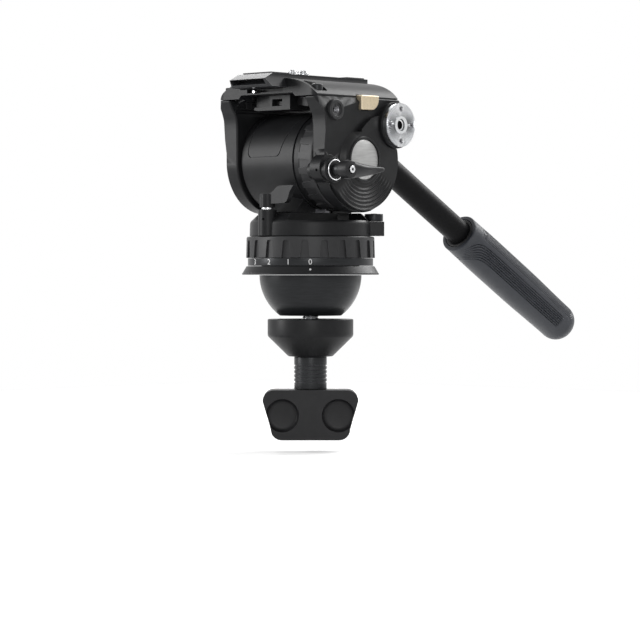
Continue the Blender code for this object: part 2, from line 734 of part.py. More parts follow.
def many(name, pieces):
    """One cutter made of several separate solids, given as meshes with their matrices."""
    build = bmesh.new()
    for mesh, matrix in pieces:
        single = mesh.copy()
        single.transform(matrix)
        build.from_mesh(single)
        bpy.data.meshes.remove(single)
    joined = bpy.data.meshes.new(name)
    build.to_mesh(joined)
    build.free()
    return place(name, joined, None)


def wedge_mesh(name, low_half, high_half, low, high, depth):
    """Trapezoid bar: its width changes from low to high, and it is two depths thick."""
    build = bmesh.new()
    bmesh.ops.create_cube(build, size=2)
    for vert in build.verts:
        up = vert.co.z > 0
        vert.co.x *= depth
        vert.co.y *= high_half if up else low_half
        vert.co.z = high if up else low
    mesh = bpy.data.meshes.new(name)
    build.to_mesh(mesh)
    build.free()
    return mesh


def around(axis, count, radius, height=0.0):
    """Matrices of a ring of places on a turned piece."""
    places = []
    for index in range(count):
        spin = Matrix.Rotation(2 * math.pi * index / count, 4, "Z")
        places.append(spin @ Matrix.Translation((radius, 0, height)))
    if axis == "X":
        lay = Matrix.Rotation(math.pi / 2, 4, "Y")
        places = [lay @ one for one in places]
    return places


# Base

def base_flange():
    """Cone flange with the spigot that the drag ring turns on."""
    profile = [
        (SPIGOT_R, SPIGOT_TOP),
        (SPIGOT_R, FLANGE_H),
        (FLANGE_HIGH_R, FLANGE_H),
        (FLANGE_LOW_R, 0),
        (SPINDLE_HEAD_R + GAP, 0),
        (SPINDLE_HEAD_R + GAP, SPINDLE_HEAD_H + 2 * GAP),
        (SPINDLE_R + GAP, SPINDLE_HEAD_H + 2 * GAP),
        (SPINDLE_R + GAP, SPIGOT_TOP),
    ]
    turned("base_flange", profile, "black_casting")


def half_ball():
    """Lower half ball with the clamp stud's head pocket and bore."""
    top_angle = math.asin(GAP / BALL_R)
    end_angle = math.asin(BALL_DEPTH / BALL_R)
    profile = []
    for index in range(BALL_STEPS + 1):
        angle = top_angle + (end_angle - top_angle) * index / BALL_STEPS
        profile.append((BALL_R * math.cos(angle), -BALL_R * math.sin(angle)))
    profile.append((STUD_R + GAP, -BALL_DEPTH))
    profile.append((STUD_R + GAP, -BALL_HEAD_POCKET))
    profile.append((STUD_HEAD_R + GAP, -BALL_HEAD_POCKET))
    profile.append((STUD_HEAD_R + GAP, -GAP))
    turned("half_ball", profile, "black_anodised")


def clamp_stud():
    """Stud with its head in the half ball."""
    head_low = GAP - BALL_HEAD_POCKET
    profile = [
        (0, head_low + STUD_HEAD_H),
        (STUD_HEAD_R, head_low + STUD_HEAD_H),
        (STUD_HEAD_R, head_low),
        (STUD_R, head_low),
        (STUD_R, STUD_END),
        (0, STUD_END),
    ]
    turned("clamp_stud", profile, "bright_steel", steps=SMALL_STEPS, ring=False)


def pan_spindle():
    """Spindle with its head under the flange, and its nut above the pan housing."""
    profile = [
        (0, SPINDLE_TOP),
        (SPINDLE_R, SPINDLE_TOP),
        (SPINDLE_R, GAP + SPINDLE_HEAD_H),
        (SPINDLE_HEAD_R, GAP + SPINDLE_HEAD_H),
        (SPINDLE_HEAD_R, GAP),
        (0, GAP),
    ]
    turned("pan_spindle", profile, "dark_steel", steps=MIDDLE_STEPS, ring=False)
    nut_low = HOUSING_TOP + GAP
    tube_ring("spindle_nut", SPINDLE_R + GAP, SPINDLE_NUT_R, nut_low, nut_low + SPINDLE_NUT_H,
              "dark_steel", steps=MIDDLE_STEPS)


def pan_damper():
    """Fluid cartridge between the spigot and the housing, and the bearing above it."""
    tube_ring("pan_damper", DAMPER_IN_R, DAMPER_OUT_R, SPIGOT_TOP + GAP, DAMPER_TOP, "black_plastic",
              steps=MIDDLE_STEPS)
    tube_ring("pan_bearing", BEARING_IN_R, BEARING_OUT_R, DAMPER_TOP + GAP, HOUSING_CEILING - GAP,
              "bright_steel", steps=MIDDLE_STEPS)


# Bowl clamp

def clamp_cup():
    """Cup that is drawn up under the bowl."""
    profile = [
        (CUP_R, CUP_TOP),
        (CUP_R, CUP_STRAIGHT_END),
        (CUP_END_R, CUP_END),
        (STUD_R + GAP, CUP_END),
        (STUD_R + GAP, CUP_TOP),
    ]
    turned("clamp_cup", profile, "black_casting", steps=ROUND_STEPS)


def wing_outline():
    """Front outline of the wing knob: wide, rounded at the top, drawn in below."""
    top = NECK_END - GAP
    low_half = WING_HALF_W - WING_TAPER
    right = arc((WING_HALF_W - WING_CORNER, top - WING_CORNER), WING_CORNER, math.pi / 2, 0, CORNER_STEPS)
    low = arc((low_half - WING_CORNER, WING_END + WING_CORNER), WING_CORNER, 0, -math.pi / 2, CORNER_STEPS)
    half = right + low
    return half + [(-across, up) for across, up in reversed(half)]


def bowl_knob():
    """Wing knob with its threaded neck."""
    neck_top = CUP_END - GAP
    tube_ring("knob_neck", STUD_R + GAP, NECK_R, NECK_END, neck_top, "black_anodised", steps=MIDDLE_STEPS)
    knob = extruded("bowl_knob", wing_outline(), -WING_HALF_T, WING_HALF_T, "black_plastic", "XZ")
    knob.matrix_world = Matrix.Rotation(WING_TURN, 4, "Z") @ knob.matrix_world
    bevel(knob, WING_EDGE)
    boolean(knob, disc("stud_well", STUD_R + GAP, STUD_END - OVERRUN, NECK_END + OVERRUN, None,
                       steps=SMALL_STEPS))


# Pan drag ring

def notch_cutter(name, axis, radius, low, high, count):
    """Ring of trapezoid notches, open towards the low end."""
    bar = wedge_mesh(name + "_bar", NOTCH_LOW_W / 2, NOTCH_HIGH_W / 2, low - OVERRUN,
                     high - NOTCH_TOP_GAP, NOTCH_DEPTH)
    return many(name, [(bar, one) for one in around(axis, count, radius)])


def pan_drag_ring():
    """Number band and the notched grip ring above it."""
    tube_ring("pan_drag_scale", SPIGOT_R + GAP, BAND_R, BAND_LOW, BAND_HIGH, "black_anodised")
    profile = [
        (DRAG_R - DRAG_CHAMFER, DRAG_HIGH),
        (DRAG_R, DRAG_HIGH - DRAG_CHAMFER),
        (DRAG_R, DRAG_LOW),
        (SPIGOT_R + GAP, DRAG_LOW),
        (SPIGOT_R + GAP, DRAG_HIGH),
    ]
    ring = turned("pan_drag_ring", profile, "black_plastic", steps=NOTCHED_STEPS)
    boolean(ring, notch_cutter("pan_notches", "Z", DRAG_R, DRAG_LOW, DRAG_HIGH, NOTCH_COUNT))


# Pan housing

def lock_cross_hole():
    """Small hole in the front of the lock's boss."""
    inner = LOCK_BOSS_R - LOCK_CROSS_DEPTH
    outer = LOCK_BOSS_R + OVERRUN
    at = (LOCK_X, LOCK_Y, LOCK_BOSS_TOP - LOCK_CROSS_DROP)
    turn = (0, math.pi / 2, LOCK_CROSS_TURN)
    return disc("lock_cross_hole", LOCK_CROSS_R, inner, outer, None, at=at, steps=TINY_STEPS, turn=turn)


def pan_housing():
    """Turned housing with the lock boss, the level block and the pocket for the yoke."""
    profile = [
        (HOUSING_TOP_R, HOUSING_TOP),
        (HOUSING_SHOULDER_R, HOUSING_SHOULDER_Z),
        (HOUSING_R, HOUSING_LOW),
        (HOUSING_R - HOUSING_WALL, HOUSING_LOW),
        (HOUSING_R - HOUSING_WALL, HOUSING_CEILING),
        (SPINDLE_R + GAP, HOUSING_CEILING),
        (SPINDLE_R + GAP, HOUSING_TOP),
    ]
    housing = turned("pan_housing", profile, "black_casting")
    outside = 2 * HOUSING_R
    slant_x = POCKET_SIDE_X + POCKET_SLANT
    outline = [
        (slant_x, -outside),
        (outside, -outside),
        (outside, POCKET_REAR_Y),
        (slant_x, POCKET_REAR_Y),
        (POCKET_SIDE_X, POCKET_REAR_Y - POCKET_SLANT),
        (POCKET_SIDE_X, POCKET_SLANT - HOUSING_R),
    ]
    boolean(housing, extruded("yoke_pocket", outline, POCKET_FLOOR, 2 * HOUSING_TOP, None, "XY"))
    lock_at = (LOCK_X, LOCK_Y, 0)
    boss = disc("lock_boss", LOCK_BOSS_R, HOUSING_LOW, LOCK_BOSS_TOP, None, at=lock_at, steps=MIDDLE_STEPS)
    boolean(housing, boss, "UNION")
    level_low = (HOUSING_TOP_R, -LEVEL_HALF_W, HOUSING_LOW)
    level = block("level_block", level_low, (LEVEL_REACH, LEVEL_HALF_W, LEVEL_BLOCK_TOP), None)
    level.rotation_euler = (0, 0, LEVEL_TURN)
    boolean(housing, level, "UNION")
    well = disc("level_well", LEVEL_RING_R + GAP, LEVEL_BLOCK_TOP, 2 * HOUSING_TOP, None, at=level_place(),
                steps=MIDDLE_STEPS)
    boolean(housing, well)
    hollow_low = HOUSING_LOW - OVERRUN
    boolean(housing, disc("housing_hollow", HOUSING_R - HOUSING_WALL, hollow_low, HOUSING_CEILING, None))
    bore = disc("lock_bore", LOCK_PIN_R + GAP, LOCK_BOSS_TOP - LOCK_PIN_DEPTH, LOCK_BOSS_TOP + OVERRUN,
                None, at=lock_at, steps=SMALL_STEPS)
    boolean(housing, bore)
    boolean(housing, lock_cross_hole())


def level_place():
    """Centre of the bubble level, turned about the pan axis."""
    return (LEVEL_FROM_AXIS * math.cos(LEVEL_TURN), LEVEL_FROM_AXIS * math.sin(LEVEL_TURN), 0)


def pan_lock():
    """Steel pin in the boss and the lever on it, its blade stepped up in an S."""
    pin_low = LOCK_BOSS_TOP - LOCK_PIN_DEPTH + GAP
    profile = [
        (0, LOCK_HUB_LOW - GAP),
        (LOCK_COLLAR_R, LOCK_HUB_LOW - GAP),
        (LOCK_COLLAR_R, LOCK_BOSS_TOP + GAP),
        (LOCK_PIN_R, LOCK_BOSS_TOP + GAP),
        (LOCK_PIN_R, pin_low),
        (0, pin_low),
    ]
    at = (LOCK_X, LOCK_Y, 0)
    turned("pan_lock_pin", profile, "bright_steel", at=at, steps=SMALL_STEPS, ring=False)
    hub = disc("pan_lock_lever", LOCK_HUB_R, LOCK_HUB_LOW, LOCK_HUB_TOP, "black_casting", at=at,
               steps=SMALL_STEPS)
    outline = []
    for across, up in LOCK_BLADE_SHARES:
        outline.append((LOCK_X + LOCK_BLADE_REACH * across, LOCK_BLADE_LOW + LOCK_BLADE_H * up))
    half = LOCK_BLADE_T / 2
    boolean(hub, extruded("pan_lock_blade", outline, LOCK_Y - half, LOCK_Y + half, None, "XZ"), "UNION")


def bubble_level():
    """Bezel and vial of the round level on its block."""
    at = level_place()
    low = LEVEL_BLOCK_TOP + GAP
    floor = low + LEVEL_RING_WALL
    inner = LEVEL_RING_R - LEVEL_RING_WALL
    profile = [
        (0, floor),
        (inner, floor),
        (inner, LEVEL_RING_TOP),
        (LEVEL_RING_R, LEVEL_RING_TOP),
        (LEVEL_RING_R, low),
        (0, low),
    ]
    turned("level_bezel", profile, "black_anodised", at=at, steps=MIDDLE_STEPS, ring=False)
    disc("level_vial", inner - GAP, floor + GAP, LEVEL_RING_TOP - GAP, "level_glass", at=at,
         steps=MIDDLE_STEPS)


# Tilt drum

def drum_profile():
    """Section of the drum: its outer side with lip and neck, then its hollow and bearing seats."""
    hole = TILT_SPINDLE_R + 2 * GAP
    seat = TILT_BEARING_R + GAP
    seat_depth = TILT_BEARING_W + 2 * GAP
    seam_floor = DRUM_R - LIP_STEP - SEAM_D
    corner = (DRUM_R - DRUM_ROUND, DRUM_LEFT + DRUM_ROUND)
    outer = [
        (DRUM_NECK_R, DRUM_RIGHT),
        (DRUM_NECK_R, DRUM_LIP_END),
        (DRUM_LIP_R, DRUM_LIP_END),
        (DRUM_LIP_R, DRUM_SEAM + SEAM_W),
        (seam_floor, DRUM_SEAM + SEAM_W),
        (seam_floor, DRUM_SEAM),
        (DRUM_R, DRUM_SEAM),
    ]
    inner = [
        (seat, DRUM_LEFT),
        (seat, DRUM_LEFT + seat_depth),
        (hole, DRUM_LEFT + seat_depth),
        (hole, HOLLOW_LEFT),
        (DRUM_HOLLOW_R, HOLLOW_LEFT),
        (DRUM_HOLLOW_R, HOLLOW_RIGHT),
        (hole, HOLLOW_RIGHT),
        (hole, DRUM_RIGHT - seat_depth),
        (seat, DRUM_RIGHT - seat_depth),
        (seat, DRUM_RIGHT),
    ]
    return outer + arc(corner, DRUM_ROUND, 0, -math.pi / 2, CORNER_STEPS) + inner


def label_outline(grow):
    """Outline of the label field: round lower corners, slanted right side, open at the top."""
    low = PANEL_LOW_Z - grow
    left = PANEL_X0 - grow
    right = PANEL_X1 + grow
    top = TILT_Z + DRUM_R
    left_corner = arc((left + PANEL_CORNER, low + PANEL_CORNER), PANEL_CORNER, math.pi, 3 * math.pi / 2,
                      CORNER_STEPS)
    right_corner = arc((right - PANEL_CORNER, low + PANEL_CORNER), PANEL_CORNER, -math.pi / 2, 0,
                       CORNER_STEPS)
    return [(left, top)] + left_corner + right_corner + [(right + PANEL_SLANT, top)]


def drum_housing():
    """Drum on its cone foot, hollow for the spring and the cartridge, with the label's line."""
    tilt_axis = (0, 0, TILT_Z)
    drum = turned("drum_housing", drum_profile(), "black_casting", axis="X", at=tilt_axis)
    foot_low = HOUSING_TOP + GAP
    foot_profile = [
        (0, FOOT_TOP),
        (FOOT_HIGH_R, FOOT_TOP),
        (FOOT_LOW_R, foot_low),
        (0, foot_low),
    ]
    foot = turned("drum_foot", foot_profile, None, steps=MIDDLE_STEPS, ring=False)
    side_low = (POCKET_SIDE_X - GAP, -2 * DRUM_R, 0)
    boolean(foot, block("foot_side", side_low, (2 * DRUM_R, 2 * DRUM_R, TILT_Z), None))
    boolean(drum, foot, "UNION")
    well_low = foot_low - OVERRUN
    boolean(drum, disc("nut_well", NUT_WELL_R, well_low, NUT_WELL_TOP, None, steps=MIDDLE_STEPS))
    front = -DRUM_R - OVERRUN
    line = extruded("label_line", label_outline(PANEL_LINE), front, 0, None, "XZ")
    boolean(line, extruded("label_field", label_outline(0), front - OVERRUN, OVERRUN, None, "XZ"))
    boolean(line, disc("label_core", DRUM_R - PANEL_D, DRUM_LEFT, DRUM_SEAM, None, axis="X", at=tilt_axis))
    boolean(drum, line)


def drum_insides():
    """Bearings in the drum's ends, the counterbalance spring and the fluid cartridge."""
    for side, low in (("left", DRUM_LEFT + GAP), ("right", DRUM_RIGHT - GAP - TILT_BEARING_W)):
        tube_ring(side + "_bearing", TILT_SPINDLE_R + GAP, TILT_BEARING_R, low, low + TILT_BEARING_W,
                  "bright_steel", axis="X", at=(0, 0, TILT_Z), steps=MIDDLE_STEPS)
    tube_ring("tilt_damper", CARTRIDGE_IN_R, CARTRIDGE_OUT_R, CARTRIDGE_START, CARTRIDGE_END,
              "black_plastic", axis="X", at=(0, 0, TILT_Z), steps=MIDDLE_STEPS)
    points = []
    for index in range(SPRING_TURNS * SPRING_POINTS_PER_TURN + 1):
        turns = index / SPRING_POINTS_PER_TURN
        angle = 2 * math.pi * turns
        points.append((SPRING_START + SPRING_PITCH * turns, SPRING_R * math.cos(angle),
                       TILT_Z + SPRING_R * math.sin(angle)))
    rod("counterbalance_spring", points, SPRING_WIRE_R, "dark_steel", resolution=0)


def tilt_drag_ring():
    """Ribbed ring on the drum's neck."""
    profile = [
        (TILT_RING_R - TILT_RING_CHAMFER, TILT_RING_END),
        (TILT_RING_R, TILT_RING_END - TILT_RING_CHAMFER),
        (TILT_RING_R, TILT_RING_START),
        (DRUM_NECK_R + GAP, TILT_RING_START),
        (DRUM_NECK_R + GAP, TILT_RING_END),
    ]
    ring = turned("tilt_drag_ring", profile, "black_plastic", axis="X", at=(0, 0, TILT_Z),
                  steps=NOTCHED_STEPS)
    notches = notch_cutter("tilt_notches", "X", TILT_RING_R, TILT_RING_START, TILT_RING_END, NOTCH_COUNT)
    notches.location = (0, 0, TILT_Z)
    boolean(ring, notches)


# Tilt assembly

def arm_outline():
    """Side outline of an arm: flared front, round bottom, straight rear."""
    rise = ARM_TOP - TILT_Z
    front = [(ARM_FRONT_Y * across, TILT_Z + rise * up) for across, up in ARM_FRONT_SHARES]
    bottom = arc((0, TILT_Z), ARM_BOTTOM_R, ARM_BOTTOM_FROM, ARM_BOTTOM_TO, ARM_BOTTOM_STEPS)
    rear = [(ARM_REAR_Y, TILT_Z + rise * ARM_REAR_SHARE), (ARM_REAR_Y, ARM_TOP)]
    return front + bottom + rear


def tab_outline(grow):
    """D-shaped outline of the release tab, square at the front and round at the low rear."""
    rear = TAB_Y1 + grow
    low = TAB_LOW - grow
    corner = TAB_CORNER
    round_end = arc((rear - corner, low + corner), corner, -math.pi / 2, 0, CORNER_STEPS)
    return [(TAB_Y0 - grow, TAB_TOP + grow), (TAB_Y0 - grow, low)] + round_end + [(rear, TAB_TOP + grow)]


def plan_corner(name, across, along, low, high):
    """Cutter that rounds one upright corner of the arms and the platform, seen from above."""
    centre_x = ARM_OUT_X - PLATFORM_CORNER
    far_x = ARM_OUT_X + OVERRUN
    edge_y = PLATFORM_FRONT if along < 0 else PLATFORM_REAR
    centre_y = edge_y - along * PLATFORM_CORNER
    far_y = edge_y + along * OVERRUN
    outline = []
    for from_x, from_y in arc((0, 0), PLATFORM_CORNER, math.pi / 2, 0, CORNER_STEPS):
        outline.append((across * (centre_x + from_x), centre_y + along * from_y))
    outline += [(across * far_x, centre_y), (across * far_x, far_y), (across * centre_x, far_y)]
    return extruded(name, outline, low, high, None, "XY")


def gusset(side, sign):
    """Concave fillet from an arm's inner face to its top, under the platform."""
    centre = (ARM_IN_X - GUSSET_R, ARM_TOP - GUSSET_LIP - GUSSET_R)
    outline = arc(centre, GUSSET_R, 0, math.pi / 2, CORNER_STEPS)
    outline += [(centre[0], ARM_TOP), (ARM_IN_X + OVERRUN, ARM_TOP), (ARM_IN_X + OVERRUN, centre[1])]
    outline = [(sign * across, up) for across, up in outline]
    front = ARM_FRONT_Y + GUSSET_FRONT_IN
    return extruded(side + "_gusset", outline, front, ARM_REAR_Y - GUSSET_REAR_IN, None, "XZ")


def arm(side, sign):
    """One yoke arm with its fillet, rosette boss and spindle bore."""
    ends = sorted((sign * ARM_IN_X, sign * ARM_OUT_X))
    piece = extruded(side + "_arm", arm_outline(), ends[0], ends[1], "black_casting", "YZ")
    bevel(piece, ARM_EDGE, segments=1)
    boolean(piece, plan_corner(side + "_arm_corner", sign, -1, TILT_Z, ARM_TOP + OVERRUN))
    boolean(piece, gusset(side, sign), "UNION")
    rosette_at = (0, ROSETTE_Y, ROSETTE_Z)
    ends = sorted((sign * (ARM_OUT_X - OVERRUN), sign * ROSETTE_BOSS_END))
    boss = disc(side + "_rosette_boss", ROSETTE_BOSS_R, ends[0], ends[1], None, axis="X", at=rosette_at,
                steps=MIDDLE_STEPS)
    boolean(piece, boss, "UNION")
    ends = sorted((sign * (ARM_IN_X - OVERRUN), sign * (ROSETTE_BOSS_END + OVERRUN)))
    boolean(piece, disc(side + "_rosette_hole", ROSETTE_HOLE_R, ends[0], ends[1], None, axis="X",
                        at=rosette_at, steps=SMALL_STEPS))
    ends = sorted((sign * (ARM_IN_X - OVERRUN), sign * (TILT_SPINDLE_HALF + GAP)))
    boolean(piece, disc(side + "_spindle_bore", TILT_SPINDLE_R + GAP, ends[0], ends[1], None, axis="X",
                        at=(0, 0, TILT_Z), steps=MIDDLE_STEPS))
    return piece


def arms():
    """Left and right yoke arms. The right one carries the lock's cup, the socket and the tab."""
    arm("left", -1)
    right = arm("right", 1)
    lock_at = (0, TLOCK_Y, TLOCK_Z)
    boss_profile = [
        (0, TLOCK_CUP_END),
        (TLOCK_CUP_R, TLOCK_CUP_END),
        (TLOCK_CUP_R, TLOCK_BOSS_END),
        (TLOCK_BOSS_R, TLOCK_BOSS_END),
        (TLOCK_BOSS_R, ARM_IN_X),
        (0, ARM_IN_X),
    ]
    boss = turned("tilt_lock_boss", boss_profile, None, axis="X", at=lock_at, steps=MIDDLE_STEPS, ring=False)
    boolean(right, boss, "UNION")
    boolean(right, disc("tilt_lock_bore", TLOCK_SHAFT_R + GAP, TLOCK_SHAFT_START - GAP,
                        TLOCK_CUP_END + OVERRUN, None, axis="X", at=lock_at, steps=SMALL_STEPS))
    outside = ARM_OUT_X + OVERRUN
    boolean(right, disc("socket_seat", SOCKET_ROOT_R + GAP, SOCKET_ROOT - GAP, outside, None, axis="X",
                        at=(0, SOCKET_Y, SOCKET_Z), steps=MIDDLE_STEPS))
    boolean(right, extruded("tab_pocket", tab_outline(TAB_CLEAR), TAB_POCKET_X, outside, None, "YZ"))


def tilt_spindle():
    """Steel spindle that carries the arms in the drum's bearings."""
    disc("tilt_spindle", TILT_SPINDLE_R, -TILT_SPINDLE_HALF, TILT_SPINDLE_HALF, "dark_steel", axis="X",
         at=(0, 0, TILT_Z), steps=MIDDLE_STEPS)


def covers():
    """Round covers with their raised bezels and lower ridges, and the plain silver discs."""
    tilt_axis = (0, 0, TILT_Z)
    outside = 2 * ARM_OUT_X
    for side, sign in (("right", 1), ("left", -1)):
        base = ARM_OUT_X + GAP
        face = base + COVER_T
        lip = face + BEZEL_T
        section = [
            (BADGE_R + GAP, lip),
            (BEZEL_R, lip),
            (BEZEL_R, face),
            (COVER_R, face),
            (COVER_R, base),
            (BADGE_R + GAP, base),
        ]
        badge = [(0, base + BADGE_T), (BADGE_R, base + BADGE_T), (BADGE_R, base), (0, base)]
        cover = turned(side + "_cover", mirrored(section, sign), "black_plastic", axis="X", at=tilt_axis)
        turned(side + "_badge", mirrored(badge, sign), "silver_disc", axis="X", at=tilt_axis, ring=False)
        if sign > 0:
            boolean(cover, ridge_cutter(side, sign, face))
        boolean(cover, block(side + "_cover_top", (-outside, -2 * COVER_R, COVER_TOP),
                             (outside, 2 * COVER_R, 2 * COVER_TOP), None))
        ends = sorted((sign * ARM_IN_X, sign * outside))
        boolean(cover, disc(side + "_cover_rosette_notch", ROSETTE_BOSS_R + COVER_CLEAR, ends[0], ends[1],
                            None, axis="X", at=(0, ROSETTE_Y, ROSETTE_Z), steps=MIDDLE_STEPS))
        if sign > 0:
            boolean(cover, disc(side + "_cover_lock_notch", TLOCK_CUP_R + COVER_CLEAR, ends[0], ends[1],
                                None, axis="X", at=(0, TLOCK_Y, TLOCK_Z), steps=MIDDLE_STEPS))


def mirrored(profile, sign):
    """Profile for the right side, or its mirror image for the left side."""
    if sign > 0:
        return profile
    return [(radius, -height) for radius, height in reversed(profile)]


def ridge_cutter(side, sign, face):
    """Grooves that leave concentric ridges in the lower half of a cover."""
    points = []
    edges = []
    groove = RIDGE_PITCH * RIDGE_GROOVE_SHARE
    for index in range(RIDGE_COUNT):
        inner = RIDGE_IN_R + RIDGE_PITCH * index
        outer = inner + groove
        ring = mirrored([(outer, face + OVERRUN), (outer, face - RIDGE_D), (inner, face - RIDGE_D),
                         (inner, face + OVERRUN)], sign)
        first = len(points)
        points += [(radius, 0, height) for radius, height in ring]
        edges += [(first + corner, first + (corner + 1) % 4) for corner in range(4)]
    grooves = turned(side + "_grooves", [(0, 0), (0, 0)], None, axis="X", at=(0, 0, TILT_Z))
    grooves.data.clear_geometry()
    grooves.data.from_pydata(points, edges, [])
    keep = block(side + "_groove_half", (-2 * ARM_OUT_X, -2 * COVER_R, TILT_Z - 2 * COVER_R),
                 (2 * ARM_OUT_X, 2 * COVER_R, TILT_Z - RIDGE_DROP), None)
    boolean(grooves, keep, "INTERSECT")
    return grooves


def toothed_disc(name, base, face, sign, look):
    """Steel disc with radial teeth towards the face, a plain hub, a hole and four pin holes."""
    build = bmesh.new()
    count = 2 * ROSETTE_TEETH
    outward = 1 if face > base else -1
    hub = face + outward * ROSETTE_HUB_RISE
    rings = []
    for radius, height, toothed in (
        (ROSETTE_HOLE_R, base, False), (ROSETTE_R, base, False), (ROSETTE_R, face, True),
        (ROSETTE_HUB_R, face, True), (ROSETTE_HUB_R, hub, False), (ROSETTE_HOLE_R, hub, False),
    ):
        ring = []
        share = radius / ROSETTE_R
        for index in range(count):
            angle = 2 * math.pi * index / count
            drop = 0
            if toothed:
                drop = ROSETTE_TOOTH_H * ((1 - share) / 2 + share * (index % 2))
            ring.append(build.verts.new((sign * (height - outward * drop), radius * math.cos(angle),
                                         radius * math.sin(angle))))
        rings.append(ring)
    for index in range(len(rings)):
        one, two = rings[index], rings[(index + 1) % len(rings)]
        for place_at in range(count):
            after = (place_at + 1) % count
            build.faces.new((one[place_at], one[after], two[after], two[place_at]))
    bmesh.ops.recalc_face_normals(build, faces=build.faces)
    mesh = bpy.data.meshes.new(name)
    build.to_mesh(mesh)
    build.free()
    return place(name, mesh, look, at=(0, ROSETTE_Y, ROSETTE_Z))


def rosettes():
    """Toothed rosettes screwed to the arms' bosses."""
    base = ROSETTE_BOSS_END + GAP
    for side, sign in (("right", 1), ("left", -1)):
        rosette = toothed_disc(side + "_rosette", base, base + ROSETTE_T, sign, "bright_steel")
        ends = sorted((sign * (base - OVERRUN), sign * (base + ROSETTE_T + OVERRUN)))
        pin = disc(side + "_rosette_pin", ROSETTE_PIN_R, ends[0], ends[1], None, axis="X", steps=TINY_STEPS)
        bpy.context.view_layer.update()
        shape = pin.evaluated_get(bpy.context.evaluated_depsgraph_get())
        mesh = bpy.data.meshes.new_from_object(shape)
        mesh.transform(pin.matrix_world)
        places = []
        for index in range(ROSETTE_PIN_COUNT):
            spin = Matrix.Rotation(2 * math.pi * index / ROSETTE_PIN_COUNT, 4, "X")
            places.append(Matrix.Translation((0, ROSETTE_Y, ROSETTE_Z)) @ spin
                          @ Matrix.Translation((0, 0, ROSETTE_PIN_RING_R)))
        bpy.data.objects.remove(pin, do_unlink=True)
        boolean(rosette, many(side + "_rosette_pins", [(mesh, one) for one in places]))


def accessory_socket():
    """Threaded insert for an accessory, in the right arm's front."""
    profile = [
        (SOCKET_R, SOCKET_END),
        (SOCKET_R, ARM_OUT_X + GAP),
        (SOCKET_ROOT_R, ARM_OUT_X + GAP),
        (SOCKET_ROOT_R, SOCKET_ROOT),
        (SOCKET_HOLE_R, SOCKET_ROOT),
        (SOCKET_HOLE_R, SOCKET_END),
    ]
    turned("accessory_socket", profile, "black_anodised", axis="X", at=(0, SOCKET_Y, SOCKET_Z),
           steps=MIDDLE_STEPS)


def plate_half_width(height):
    """Half width of the plate's dovetail at a height."""
    share = (height - PLATE_BOTTOM) / (PLATE_WAIST - PLATE_BOTTOM)
    return PLATE_LOW_HALF + (PLATE_TOP_HALF - PLATE_LOW_HALF) * min(share, 1)


def platform_outline():
    """Front outline of the platform: rounded shoulders and the channel of the plate."""
    shoulder = []
    inner = PLATE_TOP_HALF + GAP
    for index in range(SHOULDER_STEPS + 1):
        angle = math.pi / 2 * index / SHOULDER_STEPS
        across = inner + (ARM_OUT_X - inner) * math.cos(angle)
        up = PLATFORM_WAIST + (PLATFORM_HIGH - PLATFORM_WAIST) * math.sin(angle)
        shoulder.append((across, up))
    floor_half = plate_half_width(PLATFORM_FLOOR) + GAP
    arch_low = ARM_IN_X - GUSSET_R
    arch_high = arch_low - PLATFORM_ARCH
    right = [(arch_low, PLATFORM_LOW), (ARM_OUT_X, PLATFORM_LOW)] + shoulder
    right.append((floor_half, PLATFORM_FLOOR))
    left_shoulder = [(-across, up) for across, up in reversed(shoulder) if across > JAW_OUT_X]
    left_top = left_shoulder[0][1]
    left = [(-JAW_OUT_X - GAP, PLATFORM_FLOOR), (-JAW_OUT_X - GAP, left_top)] + left_shoulder
    left += [(-ARM_OUT_X, PLATFORM_LOW), (-arch_low, PLATFORM_LOW)]
    middle = [(-arch_high, PLATFORM_UNDER), (arch_high, PLATFORM_UNDER)]
    return right + left + middle


